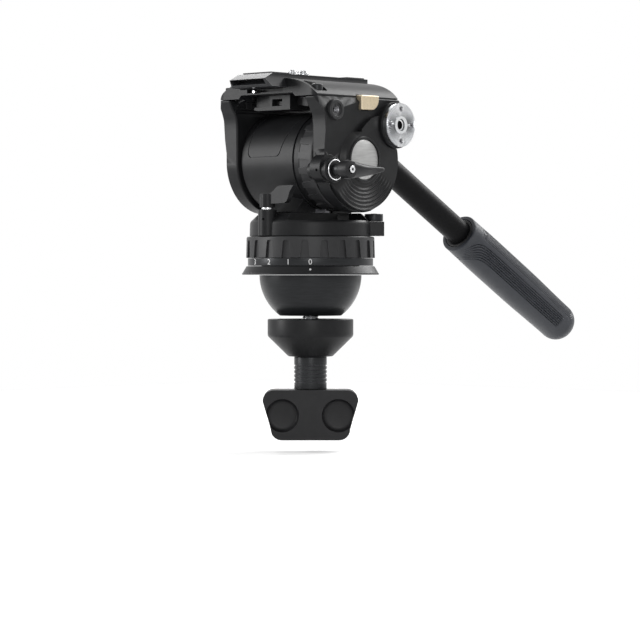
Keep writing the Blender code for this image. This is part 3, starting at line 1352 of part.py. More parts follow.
def platform():
    """Top casting of the tilt assembly with its fixed jaw and channel."""
    top = extruded("platform", platform_outline(), PLATFORM_FRONT, PLATFORM_REAR, "black_casting", "XZ")
    for name, across, along in (
        ("front_left_corner", -1, -1), ("front_right_corner", 1, -1), ("rear_left_corner", -1, 1),
        ("rear_right_corner", 1, 1),
    ):
        boolean(top, plan_corner(name, across, along, PLATFORM_LOW - OVERRUN, PLATFORM_HIGH + OVERRUN))
    outside = ARM_OUT_X + OVERRUN
    boolean(top, extruded("tab_top_pocket", tab_outline(TAB_CLEAR), TAB_POCKET_X, outside, None, "YZ"))
    button_at = (BUTTON_X, BUTTON_Y, 0)
    boolean(top, disc("button_pocket", BUTTON_POCKET_R, BUTTON_POCKET_FLOOR, PLATE_TOP, None, at=button_at,
                      steps=SMALL_STEPS))
    inside = OVERRUN - ARM_OUT_X
    lug_outline = arc((PLOCK_X, PLOCK_Y), PLOCK_LUG_HALF, math.pi / 2, 3 * math.pi / 2, 2 * CORNER_STEPS)
    lug_outline += [(inside, PLOCK_Y - PLOCK_LUG_HALF), (inside, PLOCK_Y + PLOCK_LUG_HALF)]
    boolean(top, extruded("lever_lug", lug_outline, PLOCK_LUG_LOW, PLOCK_LUG_TOP, None, "XY"), "UNION")
    boolean(top, disc("lug_bore", PLOCK_PIN_R + GAP, PLOCK_LUG_LOW - OVERRUN, PLOCK_LUG_TOP + OVERRUN, None,
                      at=(PLOCK_X, PLOCK_Y, 0), steps=SMALL_STEPS))
    pin_at = (STOP_PIN_X, 0, STOP_PIN_Z)
    boolean(top, disc("stop_pin_bore", STOP_PIN_R + GAP, -STOP_PIN_ROOT - GAP, -STOP_PIN_TIP, None,
                      at=pin_at, steps=TINY_STEPS, turn=FRONT_TURN))
    disc("stop_pin", STOP_PIN_R, -STOP_PIN_ROOT, -STOP_PIN_TIP, "bright_steel", at=pin_at,
         steps=TINY_STEPS, turn=FRONT_TURN)
    disc("safety_button", BUTTON_R, BUTTON_POCKET_FLOOR + GAP, BUTTON_POCKET_FLOOR + GAP + BUTTON_H,
         "black_anodised", at=button_at, steps=SMALL_STEPS)


def latch_box():
    """Casing of the plate latch under the platform, with the window in its front."""
    high = (LATCH_X0 + LATCH_W, LATCH_Y0 + LATCH_L, LATCH_TOP)
    box = block("latch_box", (LATCH_X0, LATCH_Y0, LATCH_LOW), high, "black_casting")
    bevel(box, ARM_EDGE, segments=1)
    low = (LATCH_WINDOW_X0, LATCH_Y0 - OVERRUN, LATCH_WINDOW_LOW)
    high = (LATCH_WINDOW_X0 + LATCH_WINDOW_W, LATCH_Y0 + LATCH_WINDOW_DEPTH,
            LATCH_WINDOW_LOW + LATCH_WINDOW_H)
    boolean(box, block("latch_window", low, high, None))


def movable_jaw():
    """Sliding jaw that presses on the plate's left side."""
    low = PLATFORM_FLOOR + GAP
    outline = [
        (-JAW_OUT_X + GAP + JAW_TRAVEL, low),
        (-plate_half_width(low) - GAP, low),
        (-PLATE_TOP_HALF - GAP, PLATE_WAIST),
        (-PLATE_TOP_HALF - GAP, PLATFORM_HIGH - GAP),
        (-JAW_OUT_X + GAP + JAW_TRAVEL, PLATFORM_HIGH - GAP),
    ]
    extruded("movable_jaw", outline, JAW_FRONT, JAW_REAR, "black_anodised", "XZ")


def camera_plate():
    """Dovetail plate with its wedge nose, the slot of its screws and its rubber pads."""
    side = [
        (PLATE_FRONT, PLATE_NOSE_Z),
        (PLATE_FRONT + PLATE_NOSE_UNDER, PLATE_BOTTOM),
        (PLATE_REAR, PLATE_BOTTOM),
        (PLATE_REAR, PLATE_TOP),
        (PLATE_FRONT + PLATE_NOSE, PLATE_TOP),
    ]
    plate = extruded("camera_plate", side, -PLATE_LOW_HALF, PLATE_LOW_HALF, "black_anodised", "YZ")
    for sign, name in ((-1, "plate_left_dovetail"), (1, "plate_right_dovetail")):
        outline = [
            (sign * PLATE_LOW_HALF, PLATE_BOTTOM),
            (sign * PLATE_TOP_HALF, PLATE_WAIST),
            (sign * PLATE_TOP_HALF, PLATE_TOP + OVERRUN),
            (sign * 2 * PLATE_LOW_HALF, PLATE_TOP + OVERRUN),
            (sign * 2 * PLATE_LOW_HALF, PLATE_BOTTOM),
        ]
        boolean(plate, extruded(name, outline, PLATE_FRONT - OVERRUN, PLATE_REAR + OVERRUN, None, "XZ"))
    for name, radius, head, at_y in (
        ("quarter", QUARTER_R, QUARTER_HEAD_R, QUARTER_Y),
        ("eighths", EIGHTHS_R, EIGHTHS_HEAD_R, EIGHTHS_Y),
    ):
        head_low = PLATE_BOTTOM + GAP
        well = [
            (0, PLATE_TOP + OVERRUN),
            (radius + GAP, PLATE_TOP + OVERRUN),
            (radius + GAP, head_low + SCREW_HEAD_H + GAP),
            (head + GAP, head_low + SCREW_HEAD_H + GAP),
            (head + GAP, PLATE_BOTTOM - OVERRUN),
            (0, PLATE_BOTTOM - OVERRUN),
        ]
        screw = [
            (0, PLATE_TOP + SCREW_RISE),
            (radius, PLATE_TOP + SCREW_RISE),
            (radius, head_low + SCREW_HEAD_H),
            (head, head_low + SCREW_HEAD_H),
            (head, head_low),
            (0, head_low),
        ]
        boolean(plate, turned(name + "_well", well, None, at=(0, at_y, 0), steps=SMALL_STEPS, ring=False))
        turned(name + "_screw", screw, "bright_steel", at=(0, at_y, 0), steps=SMALL_STEPS, ring=False)
    for name, low in (("front_pad", PAD_FRONT), ("rear_pad", PAD_REAR)):
        block(name, (-PAD_HALF_W, low, PLATE_TOP + GAP),
              (PAD_HALF_W, low + PAD_LENGTH, PLATE_TOP + GAP + PAD_T), "black_rubber")


def release_tab():
    """Champagne release tab in the right side."""
    tab = extruded("release_tab", tab_outline(0), TAB_IN_X, TAB_OUT_X, "gold_anodised", "YZ")
    bevel(tab, TAB_CLEAR, segments=1)


def plate_lock():
    """Lever on the left side that drives the movable jaw, on its steel pin."""
    at = (PLOCK_X, PLOCK_Y, 0)
    lever = disc("plate_lock_lever", PLOCK_HUB_R, PLOCK_HUB_LOW, PLOCK_HUB_TOP, "black_casting", at=at,
                 steps=MIDDLE_STEPS)
    half = PLOCK_BLADE_T / 2
    tip = arc((PLOCK_X - half, PLOCK_Y + PLOCK_REACH - half), half, 0, math.pi, CORNER_STEPS + 2)
    outline = [(PLOCK_X, PLOCK_Y)] + tip + [(PLOCK_X - PLOCK_BLADE_T, PLOCK_Y)]
    blade = extruded("plate_lock_blade", outline, PLOCK_HUB_LOW + GAP, PLOCK_HUB_TOP - half, None, "XY")
    boolean(lever, blade, "UNION")
    boolean(lever, disc("lever_bore", PLOCK_PIN_R + GAP, PLOCK_HUB_LOW - OVERRUN, PLOCK_HUB_TOP + OVERRUN,
                        None, at=at, steps=SMALL_STEPS))
    disc("plate_lock_pin", PLOCK_PIN_R, PLOCK_LUG_LOW, PLOCK_HUB_TOP + GAP, "bright_steel", at=at,
         steps=SMALL_STEPS)


def tilt_lock():
    """Tilt lock: washer on the cup, shaft with its sleeve, tapered lever and its screw."""
    at = (0, TLOCK_Y, TLOCK_Z)
    washer_low = TLOCK_CUP_END + GAP
    tube_ring("tilt_lock_washer", TLOCK_SHAFT_R + GAP, TLOCK_WASHER_R, washer_low,
              washer_low + TLOCK_WASHER_T, "bright_steel", axis="X", at=at, steps=MIDDLE_STEPS)
    profile = [
        (0, TLOCK_HUB_START - GAP),
        (TLOCK_SLEEVE_R, TLOCK_HUB_START - GAP),
        (TLOCK_SLEEVE_R, TLOCK_SLEEVE_START),
        (TLOCK_SHAFT_R, TLOCK_SLEEVE_START),
        (TLOCK_SHAFT_R, TLOCK_SHAFT_START),
        (0, TLOCK_SHAFT_START),
    ]
    turned("tilt_lock_shaft", profile, "dark_steel", axis="X", at=at, steps=SMALL_STEPS, ring=False)
    lever = disc("tilt_lock_lever", TLOCK_HUB_R, TLOCK_HUB_START, TLOCK_HUB_END, "black_casting", axis="X",
                 at=at, steps=MIDDLE_STEPS)
    upper = []
    lower = []
    for along, half in TLOCK_BLADE_SHARES:
        upper.append((TLOCK_Y + TLOCK_REACH * along, TLOCK_Z + TLOCK_HUB_R * half))
        lower.append((TLOCK_Y + TLOCK_REACH * along, TLOCK_Z - TLOCK_HUB_R * half))
    blade_low = TLOCK_HUB_START + GAP
    blade = extruded("tilt_lock_blade", lower + upper[::-1], blade_low, blade_low + TLOCK_BLADE_T, None,
                     "YZ")
    boolean(lever, blade, "UNION")
    screw_low = TLOCK_HUB_END + GAP
    disc("tilt_lock_screw", TLOCK_SCREW_R, screw_low, screw_low + TLOCK_SCREW_T, "bright_steel", axis="X",
         at=at, steps=SMALL_STEPS)


# Pan bar

BAR_TURN = (-math.pi / 2 - BAR_DROP, 0, 0)
BAR_ALONG = Vector((0, math.cos(BAR_DROP), -math.sin(BAR_DROP)))
BAR_UP = Vector((0, math.sin(BAR_DROP), math.cos(BAR_DROP)))
BAR_FOOT = Vector((BAR_X, ROSETTE_Y, ROSETTE_Z)) + BAR_OFFSET * BAR_UP
BEND_POINT = BAR_FOOT + BAR_BEND_AT * BAR_ALONG
GRIP_DROP = BAR_DROP + BAR_BEND
GRIP_TURN = (-math.pi / 2 - GRIP_DROP, 0, 0)
GRIP_ALONG = Vector((0, math.cos(GRIP_DROP), -math.sin(GRIP_DROP)))


def bar_rosette():
    """Toothed washer of the bar's clamp, facing the left rosette."""
    face = ROSETTE_BOSS_END + 2 * GAP + ROSETTE_T
    return toothed_disc("handle_rosette", face + ROSETTE_T, face, -1, "bright_steel")


def bar_clamp():
    """Clamp that joins the rosette to the bar."""
    start = -(ROSETTE_BOSS_END + 3 * GAP + 2 * ROSETTE_T)
    rosette_at = (0, ROSETTE_Y, ROSETTE_Z)
    clamp = disc("handle_clamp", CLAMP_BOSS_R, CLAMP_OUT_X, start, "black_casting", axis="X", at=rosette_at,
                 steps=MIDDLE_STEPS)
    socket = disc("clamp_socket", CLAMP_R, -CLAMP_HALF, CLAMP_HALF, None, at=BAR_FOOT, turn=BAR_TURN,
                  steps=MIDDLE_STEPS)
    web_low = (BAR_X - CLAMP_WEB_HALF, -CLAMP_WEB_HALF_L, 0)
    web = block("clamp_web", web_low, (BAR_X + CLAMP_WEB_HALF, CLAMP_WEB_HALF_L, BAR_OFFSET), None)
    web.location = rosette_at
    web.rotation_euler = (-BAR_DROP, 0, 0)
    boolean(clamp, web, "UNION")
    boolean(clamp, socket, "UNION")
    boolean(clamp, disc("bar_bore", BAR_R + GAP, BAR_START - GAP, CLAMP_HALF + OVERRUN, None, at=BAR_FOOT,
                        turn=BAR_TURN, steps=MIDDLE_STEPS))
    boolean(clamp, disc("stud_bore", BARKNOB_STUD_R + GAP, CLAMP_OUT_X - OVERRUN, start + OVERRUN, None,
                        axis="X", at=rosette_at, steps=SMALL_STEPS))


def bar_tube():
    """Aluminium bar: straight in the clamp, a slight bend, straight to the grip."""
    run_in = BAR_BEND_R * math.tan(BAR_BEND / 2)
    bend_start = BEND_POINT - run_in * BAR_ALONG
    centre = bend_start - BAR_BEND_R * BAR_UP
    points = [BAR_FOOT + BAR_START * BAR_ALONG]
    for index in range(BAR_BEND_STEPS + 1):
        angle = BAR_BEND * index / BAR_BEND_STEPS
        points.append(centre + BAR_BEND_R * (math.cos(angle) * BAR_UP + math.sin(angle) * BAR_ALONG))
    points.append(BEND_POINT + (GRIP_START + BAR_IN_GRIP) * GRIP_ALONG)
    rod("handle_tube", points, BAR_R, "black_anodised", resolution=4)


def bar_grip():
    """Rubber grip over the bar's end, with its rounded nose and the ring in its mouth."""
    grip_end = GRIP_START + GRIP_LENGTH
    bore_end = GRIP_START + BAR_IN_GRIP + GAP
    mouth = GRIP_START + COLLAR_W
    nose = []
    for index in range(GRIP_ROUND_STEPS + 1):
        angle = math.pi / 2 * index / GRIP_ROUND_STEPS
        nose.append((GRIP_END_R - GRIP_ROUND + GRIP_ROUND * math.sin(angle),
                     grip_end - GRIP_ROUND + GRIP_ROUND * math.cos(angle)))
    profile = [(0, grip_end)] + nose
    profile += [
        (GRIP_R, GRIP_START + GRIP_LENGTH * GRIP_WIDE_SHARES[1]),
        (GRIP_R, GRIP_START + GRIP_LENGTH * GRIP_WIDE_SHARES[0]),
        (GRIP_NECK_R, GRIP_START),
        (COLLAR_R + GAP, GRIP_START),
        (COLLAR_R + GAP, mouth),
        (BAR_R + GAP, mouth),
        (BAR_R + GAP, bore_end),
        (0, bore_end),
    ]
    turned("handle_grip", profile, "black_rubber", at=BEND_POINT, turn=GRIP_TURN, steps=MIDDLE_STEPS,
           ring=False)
    collar = [
        (COLLAR_R, mouth - GAP),
        (COLLAR_R, GRIP_START),
        (BAR_R + GAP, GRIP_START),
        (BAR_R + GAP, mouth - GAP),
    ]
    turned("handle_collar", collar, "black_plastic", at=BEND_POINT, turn=GRIP_TURN, steps=MIDDLE_STEPS)


def bar_knob():
    """Lobed knob whose stud passes through the clamp into the rosette's thread."""
    base = CLAMP_OUT_X - GAP
    end = base - BARKNOB_LENGTH
    profile = [
        (0, BARKNOB_STUD_IN),
        (BARKNOB_STUD_R, BARKNOB_STUD_IN),
        (BARKNOB_STUD_R, base),
        (BARKNOB_R, base),
        (BARKNOB_R, end),
        (0, end),
    ]
    knob = turned("handle_knob", profile, "black_plastic", axis="X", at=(0, ROSETTE_Y, ROSETTE_Z), ring=False)
    scoop = disc("knob_scoop", BARKNOB_LOBE_R, end - OVERRUN, base - BARKNOB_LOBE_R, None, axis="X",
                 steps=SMALL_STEPS)
    bpy.context.view_layer.update()
    mesh = bpy.data.meshes.new_from_object(scoop.evaluated_get(bpy.context.evaluated_depsgraph_get()))
    mesh.transform(scoop.matrix_world)
    bpy.data.objects.remove(scoop, do_unlink=True)
    places = []
    for index in range(BARKNOB_LOBES):
        spin = Matrix.Rotation(2 * math.pi * index / BARKNOB_LOBES, 4, "X")
        places.append(Matrix.Translation((0, ROSETTE_Y, ROSETTE_Z)) @ spin
                      @ Matrix.Translation((0, 0, BARKNOB_R + BARKNOB_LOBE_R - BARKNOB_LOBE_DEPTH)))
    boolean(knob, many("knob_scoops", [(mesh, one) for one in places]))


base_flange()
half_ball()
clamp_stud()
pan_spindle()
pan_damper()
clamp_cup()
bowl_knob()
pan_drag_ring()
pan_housing()
pan_lock()
bubble_level()
drum_housing()
drum_insides()
tilt_drag_ring()
arms()
tilt_spindle()
covers()
rosettes()
accessory_socket()
platform()
latch_box()
movable_jaw()
camera_plate()
release_tab()
plate_lock()
tilt_lock()
bar_rosette()
bar_clamp()
bar_tube()
bar_grip()
bar_knob()
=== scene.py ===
"""Fluid video head: a 75 mm half ball, two drag rings, a sliding camera plate and a rear pan bar.

Lengths are in metres, +Z up on the pan axis, the front of the head towards -Y.
"""

import math

import bmesh
import bpy
from mathutils import Matrix, Vector


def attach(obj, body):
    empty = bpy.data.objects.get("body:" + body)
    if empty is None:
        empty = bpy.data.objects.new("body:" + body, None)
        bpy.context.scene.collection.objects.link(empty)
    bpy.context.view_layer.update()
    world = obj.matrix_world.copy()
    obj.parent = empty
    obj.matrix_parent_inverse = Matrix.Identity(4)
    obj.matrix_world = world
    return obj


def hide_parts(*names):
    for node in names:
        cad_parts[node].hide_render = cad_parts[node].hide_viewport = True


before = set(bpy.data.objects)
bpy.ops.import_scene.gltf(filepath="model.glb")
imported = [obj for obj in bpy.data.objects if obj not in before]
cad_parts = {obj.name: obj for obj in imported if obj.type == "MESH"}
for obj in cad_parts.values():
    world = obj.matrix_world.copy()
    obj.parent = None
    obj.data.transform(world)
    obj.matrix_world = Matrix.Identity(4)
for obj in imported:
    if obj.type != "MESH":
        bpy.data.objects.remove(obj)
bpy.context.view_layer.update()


# Camera, floor and light
# The camera looks at the head's front right corner, level with the bowl's rim,
# through a long lens. The floor and the surroundings are plain and white.

VIEW_AZIMUTH = math.radians(43.4)
VIEW_DISTANCE = 2.058
PICTURE_SIDE = 640
FOCAL_PIXELS = 2800
SENSOR_WIDTH = 36
AXIS_COLUMN = 310.5
RIM_ROW = 274.7
HORIZON_ROW = 272.0
FLOOR_Z = -0.1300
FLOOR_SIDE = 1.9
FLOOR_WHITE = 0.80
FLOOR_ROUGHNESS = 0.9
FLOOR_GLOW = 0.42
AMBIENT_STRENGTH = 0.25
MIDDLE_OF_HEAD = Vector((0, 0.02, 0.06))

view_along = Vector((-math.sin(VIEW_AZIMUTH), math.cos(VIEW_AZIMUTH), 0))
view_right = Vector((math.cos(VIEW_AZIMUTH), math.sin(VIEW_AZIMUTH), 0))
metres_per_pixel = VIEW_DISTANCE / FOCAL_PIXELS
view_pitch = math.atan((PICTURE_SIDE / 2 - HORIZON_ROW) / FOCAL_PIXELS)


def placed(name, data):
    """New object in the scene that holds this camera, lamp or mesh."""
    holder = bpy.data.objects.new(name, data)
    bpy.context.scene.collection.objects.link(holder)
    return holder


lens = bpy.data.cameras.new("photo_camera")
lens.sensor_width = SENSOR_WIDTH
lens.lens = SENSOR_WIDTH * FOCAL_PIXELS / PICTURE_SIDE
camera = placed("photo_camera", lens)
camera.location = (
    -view_along * VIEW_DISTANCE
    + view_right * (PICTURE_SIDE / 2 - AXIS_COLUMN) * metres_per_pixel
    + Vector((0, 0, (RIM_ROW - HORIZON_ROW) * metres_per_pixel))
)
look_along = view_along * math.cos(view_pitch) - Vector((0, 0, math.sin(view_pitch)))
camera.rotation_euler = look_along.to_track_quat("-Z", "Y").to_euler()
bpy.context.scene.camera = camera
bpy.context.scene.view_settings.view_transform = "Standard"


def added(nodes, kind, **values):
    """New shader node with its fixed values; an underscore stands for a space in a socket's name."""
    node = nodes.new("ShaderNode" + kind)
    for socket, value in values.items():
        node.inputs[socket.replace("_", " ")].default_value = value
    return node


def seen_directly(nodes, links):
    """Factor that is 1 for camera, mirror and glass rays, which all show the white background."""
    path = added(nodes, "LightPath")
    either = added(nodes, "Math")
    either.operation = "ADD"
    links.new(path.outputs["Is Camera Ray"], either.inputs[0])
    links.new(path.outputs["Is Glossy Ray"], either.inputs[1])
    total = added(nodes, "Math")
    total.operation = "ADD"
    total.use_clamp = True
    links.new(either.outputs["Value"], total.inputs[0])
    links.new(path.outputs["Is Transmission Ray"], total.inputs[1])
    return total.outputs["Value"]


surroundings = bpy.data.worlds.new("white_surroundings")
bpy.context.scene.world = surroundings
surroundings.use_nodes = True
nodes = surroundings.node_tree.nodes
links = surroundings.node_tree.links
room = nodes["Background"]
room.inputs["Color"].default_value = (1, 1, 1, 1)
room.inputs["Strength"].default_value = AMBIENT_STRENGTH
seen = added(nodes, "Background", Color=(1, 1, 1, 1), Strength=1)
choice = added(nodes, "MixShader")
links.new(seen_directly(nodes, links), choice.inputs["Fac"])
links.new(room.outputs["Background"], choice.inputs[1])
links.new(seen.outputs["Background"], choice.inputs[2])
links.new(choice.outputs["Shader"], nodes["World Output"].inputs["Surface"])


def new_look(name):
    """New material, with its nodes, its links and its main shader."""
    look = bpy.data.materials.new(name)
    look.use_nodes = True
    tree = look.node_tree
    return look, tree.nodes, tree.links, tree.nodes["Principled BSDF"]


floor_paint, nodes, links, shader = new_look("white_floor")
shader.inputs["Base Color"].default_value = (FLOOR_WHITE, FLOOR_WHITE, FLOOR_WHITE, 1)
shader.inputs["Roughness"].default_value = FLOOR_ROUGHNESS
shader.inputs["Emission Color"].default_value = (1, 1, 1, 1)
glow = added(nodes, "Math")
glow.operation = "MULTIPLY"
glow.inputs[1].default_value = FLOOR_GLOW
links.new(seen_directly(nodes, links), glow.inputs[0])
links.new(glow.outputs["Value"], shader.inputs["Emission Strength"])

floor_mesh = bpy.data.meshes.new("floor")
half = FLOOR_SIDE / 2
floor_mesh.from_pydata([(-half, -half, FLOOR_Z), (half, -half, FLOOR_Z), (half, half, FLOOR_Z),
                        (-half, half, FLOOR_Z)], [], [(0, 1, 2, 3)])
floor_mesh.materials.append(floor_paint)
placed("floor", floor_mesh)

# Soft boxes that face the middle of the head: name, place, width, height, power
for name, place, width, height, power in (
    ("front_left_softbox", (-1.18, -1.28, 0.46), 0.50, 0.95, 20),
    ("front_right_softbox", (1.15, -1.05, 0.34), 0.50, 0.60, 6),
    ("rear_softbox", (0.15, 1.35, 1.00), 1.00, 0.95, 22),
    ("right_rear_softbox", (1.00, 1.15, 0.98), 0.50, 0.40, 4),
    ("left_rear_softbox", (-1.15, 0.75, 1.00), 0.60, 0.60, 6),
):
    lamp = bpy.data.lights.new(name, "AREA")
    lamp.shape = "RECTANGLE"
    lamp.size = width
    lamp.size_y = height
    lamp.energy = power
    box = placed(name, lamp)
    box.location = place
    box.rotation_euler = (MIDDLE_OF_HEAD - Vector(place)).to_track_quat("-Z", "Y").to_euler()


# Base flange
# Cast aluminium foot of the head, turned and coated black. Its cone seats on the rim of
# the bowl, and a white dot on it marks where the drag number is read.

TURN_STEPS = 96
CORNER_STEPS = 3
CORNER_SHARE = 0.48
SMOOTH_BELOW = math.radians(32)
SAME_POINT = 0.0000005
CLOUD_SCALE = 90
EDGE_HIGHLIGHT_RADIUS = 0.0005


def filleted(profile):
    """Profile with each corner that states a third value rounded by that much."""
    path = []
    for index, corner in enumerate(profile):
        here = Vector(corner[:2])
        if len(corner) < 3:
            path.append(here)
            continue
        before = Vector(profile[index - 1][:2]) - here
        after = Vector(profile[(index + 1) % len(profile)][:2]) - here
        reach = min(corner[2], before.length * CORNER_SHARE, after.length * CORNER_SHARE)
        start = here + before.normalized() * reach
        end = here + after.normalized() * reach
        for step in range(CORNER_STEPS + 1):
            share = step / CORNER_STEPS
            path.append(start * (1 - share) ** 2 + here * 2 * share * (1 - share) + end * share ** 2)
    return path


AXIS_MATRIX = {
    "Z": Matrix.Identity(4),
    "X": Matrix.Rotation(math.pi / 2, 4, "Y"),
    "-X": Matrix.Rotation(-math.pi / 2, 4, "Y"),
    "Y": Matrix.Rotation(-math.pi / 2, 4, "X"),
}


def shaded(mesh):
    """Smooth shading with the real edges kept sharp."""
    mesh.shade_smooth()
    mesh.set_sharp_from_angle(angle=SMOOTH_BELOW)


def built(name, build, place=None):
    """Piece made from a bmesh, moved to its place and shaded."""
    bmesh.ops.remove_doubles(build, verts=build.verts, dist=SAME_POINT)
    bmesh.ops.recalc_face_normals(build, faces=build.faces)
    mesh = bpy.data.meshes.new(name)
    build.to_mesh(mesh)
    build.free()
    if place is not None:
        mesh.transform(place)
    shaded(mesh)
    return placed(name, mesh)


def turned(name, profile, axis="Z", at=(0, 0, 0), steps=TURN_STEPS, place=None):
    """Solid of revolution from (radius, height, corner), on the axis at both ends or a closed ring."""
    path = filleted(profile)
    build = bmesh.new()
    rings = []
    for radius, height in path:
        ring = []
        for step in range(steps if radius else 1):
            angle = 2 * math.pi * step / steps
            ring.append(build.verts.new((radius * math.cos(angle), radius * math.sin(angle), height)))
        rings.append(ring)
    if path[0].x or path[-1].x:
        rings.append(rings[0])
    for one, two in zip(rings, rings[1:]):
        for step in range(steps):
            after = (step + 1) % steps
            if len(one) > 1 and len(two) > 1:
                build.faces.new((one[step], two[step], two[after], one[after]))
            elif len(two) > 1:
                build.faces.new((one[0], two[step], two[after]))
            elif len(one) > 1:
                build.faces.new((one[step], two[0], one[after]))
    if place is None:
        place = Matrix.Translation(at) @ AXIS_MATRIX[axis]
    return built(name, build, place)


def mixed_colour(nodes, links, factor, low, high):
    """Colour between two others, each fixed or taken from a node."""
    mixed = added(nodes, "Mix")
    mixed.data_type = "RGBA"
    links.new(factor, mixed.inputs["Factor"])
    for socket, colour in (("A", low), ("B", high)):
        if isinstance(colour, tuple):
            mixed.inputs[socket].default_value = colour
        else:
            links.new(colour, mixed.inputs[socket])
    return mixed.outputs["Result"]


def coat(name, slot, colour, tone, gloss, spread, grain, depth, metallic=0.0, stretch=(1, 1, 1), edge_highlight=None,
         specular=0.5):
    """Procedural finish: cloudy colour and gloss, a fine grain, and edges lightened by a painted highlight."""
    look, nodes, links, shader = new_look(name)
    look["slot"] = slot
    shader.inputs["Metallic"].default_value = metallic
    shader.inputs["Specular IOR Level"].default_value = specular
    place = added(nodes, "TexCoord")
    turn = added(nodes, "Mapping", Scale=stretch)
    links.new(place.outputs["Object"], turn.inputs["Vector"])
    clouds = added(nodes, "TexNoise", Scale=CLOUD_SCALE, Detail=5, Roughness=0.6)
    fine = added(nodes, "TexNoise", Scale=grain, Detail=3, Roughness=0.55)
    for noise in (clouds, fine):
        links.new(turn.outputs["Vector"], noise.inputs["Vector"])
    blend = added(nodes, "MapRange", From_Min=0.35, From_Max=0.65)
    links.new(clouds.outputs["Fac"], blend.inputs["Value"])
    colour_out = mixed_colour(nodes, links, blend.outputs["Result"], (*colour, 1), (*tone, 1))
    # Painted highlight: the edges, found where the rounded normal leans away from the true one, are lightened.
    if edge_highlight is not None:
        round_normal = added(nodes, "Bevel", Radius=EDGE_HIGHLIGHT_RADIUS)
        round_normal.samples = 4
        surface = added(nodes, "NewGeometry")
        turned_by = added(nodes, "VectorMath")
        turned_by.operation = "DOT_PRODUCT"
        links.new(round_normal.outputs["Normal"], turned_by.inputs[0])
        links.new(surface.outputs["Normal"], turned_by.inputs[1])
        edge = added(nodes, "MapRange", From_Min=0.985, From_Max=0.90, To_Max=0.55)
        links.new(turned_by.outputs["Value"], edge.inputs["Value"])
        colour_out = mixed_colour(nodes, links, edge.outputs["Result"], colour_out, (*edge_highlight, 1))
    links.new(colour_out, shader.inputs["Base Color"])
    sheen = added(nodes, "MapRange", From_Min=0.3, From_Max=0.7, To_Min=gloss - spread, To_Max=gloss + spread)
    links.new(fine.outputs["Fac"], sheen.inputs["Value"])
    links.new(sheen.outputs["Result"], shader.inputs["Roughness"])
    bump = added(nodes, "Bump", Strength=1, Distance=depth)
    links.new(fine.outputs["Fac"], bump.inputs["Height"])
    links.new(bump.outputs["Normal"], shader.inputs["Normal"])
    return look


def fit(piece, look, body, *stands_for):
    """Give a piece its finish and its body, and hide the CAD nodes that it stands for."""
    piece.data.materials.clear()
    piece.data.materials.append(look)
    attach(piece, body)
    if stands_for:
        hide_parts(*stands_for)
    return piece


cast_black = coat(
    "cast_black", "black_casting", colour=(0.0100, 0.0103, 0.0110), tone=(0.0135, 0.0138, 0.0148),
    gloss=0.38, spread=0.05, grain=2600, depth=0.00002, edge_highlight=(0.060, 0.062, 0.066), specular=0.15,
)
print_white = coat(
    "print_white", "black_plastic", colour=(0.78, 0.78, 0.78), tone=(0.72, 0.72, 0.72),
    gloss=0.5, spread=0.05, grain=3000, depth=0.000005,
)

fit(turned("base_flange_turned", [
    (0.0360, 0.0275, 0.0005), (0.0360, 0.0063), (0.0470, 0.0063, 0.0006), (0.0499, 0.0012, 0.0005),
    (0.0503, 0.0010, 0.0002), (0.0503, 0.0000, 0.0004), (0.0143, 0.0000, 0.0004), (0.0143, 0.0043),
    (0.0103, 0.0043), (0.0103, 0.0275),
]), cast_black, "base", "base_flange")

DOT_RADIUS = 0.0008
DOT_RISE = 0.00006
FLANGE_SLOPE = math.atan2(0.0470 - 0.0499, 0.0063 - 0.0012)
toward_viewer = Matrix.Rotation(VIEW_AZIMUTH - math.pi / 2, 4, "Z")
on_cone = Matrix.Translation((0.0484, 0, 0.0038)) @ Matrix.Rotation(math.pi / 2 + FLANGE_SLOPE, 4, "Y")
fit(turned("index_dot", [(0, DOT_RISE), (DOT_RADIUS, DOT_RISE), (DOT_RADIUS, -DOT_RISE), (0, -DOT_RISE)],
           steps=24, place=toward_viewer @ on_cone), print_white, "base")


# Half ball
# Anodised aluminium ball segment that turns in the 75 mm bowl until the bubble level is
# centred. It is bolted under the flange and holds the head of the clamp stud.

BALL_RADIUS = 0.0375
BALL_LOW = 0.0300
BALL_TOP = 0.0003
BALL_ARC_POINTS = 26

anodised_black = coat(
    "anodised_black", "black_anodised", colour=(0.018, 0.019, 0.020), tone=(0.024, 0.025, 0.027),
    gloss=0.34, spread=0.06, grain=900, depth=0.000006, metallic=0.4, stretch=(1, 1, 14),
    edge_highlight=(0.16, 0.16, 0.17), specular=0.2,
)

dip_from = math.asin(BALL_TOP / BALL_RADIUS)
dip_to = math.asin(BALL_LOW / BALL_RADIUS)
ball_profile = []
for point in range(BALL_ARC_POINTS + 1):
    dip = dip_from + (dip_to - dip_from) * point / BALL_ARC_POINTS
    ball_profile.append((BALL_RADIUS * math.cos(dip), -BALL_RADIUS * math.sin(dip)))
ball_profile += [(0.0120, -BALL_LOW, 0.0004), (0.0120, -BALL_LOW + 0.0012, 0.0003),
                 (0.0063, -BALL_LOW + 0.0012, 0.0003), (0.0063, -0.0085), (0.0101, -0.0085),
                 (0.0101, -BALL_TOP)]
fit(turned("half_ball_turned", ball_profile), anodised_black, "base", "half_ball")


# Clamp stud, pan spindle and its nut
# Zinc plated steel. The stud hangs from the half ball and is threaded for the wing knob;
# the spindle and its nut hold the pan housing down on the base.

STUD_THREAD_PITCH = 0.00175
STUD_THREAD_DEPTH = 0.0009
THREAD_STEPS = 32
THREAD_ROWS_PER_TURN = 8

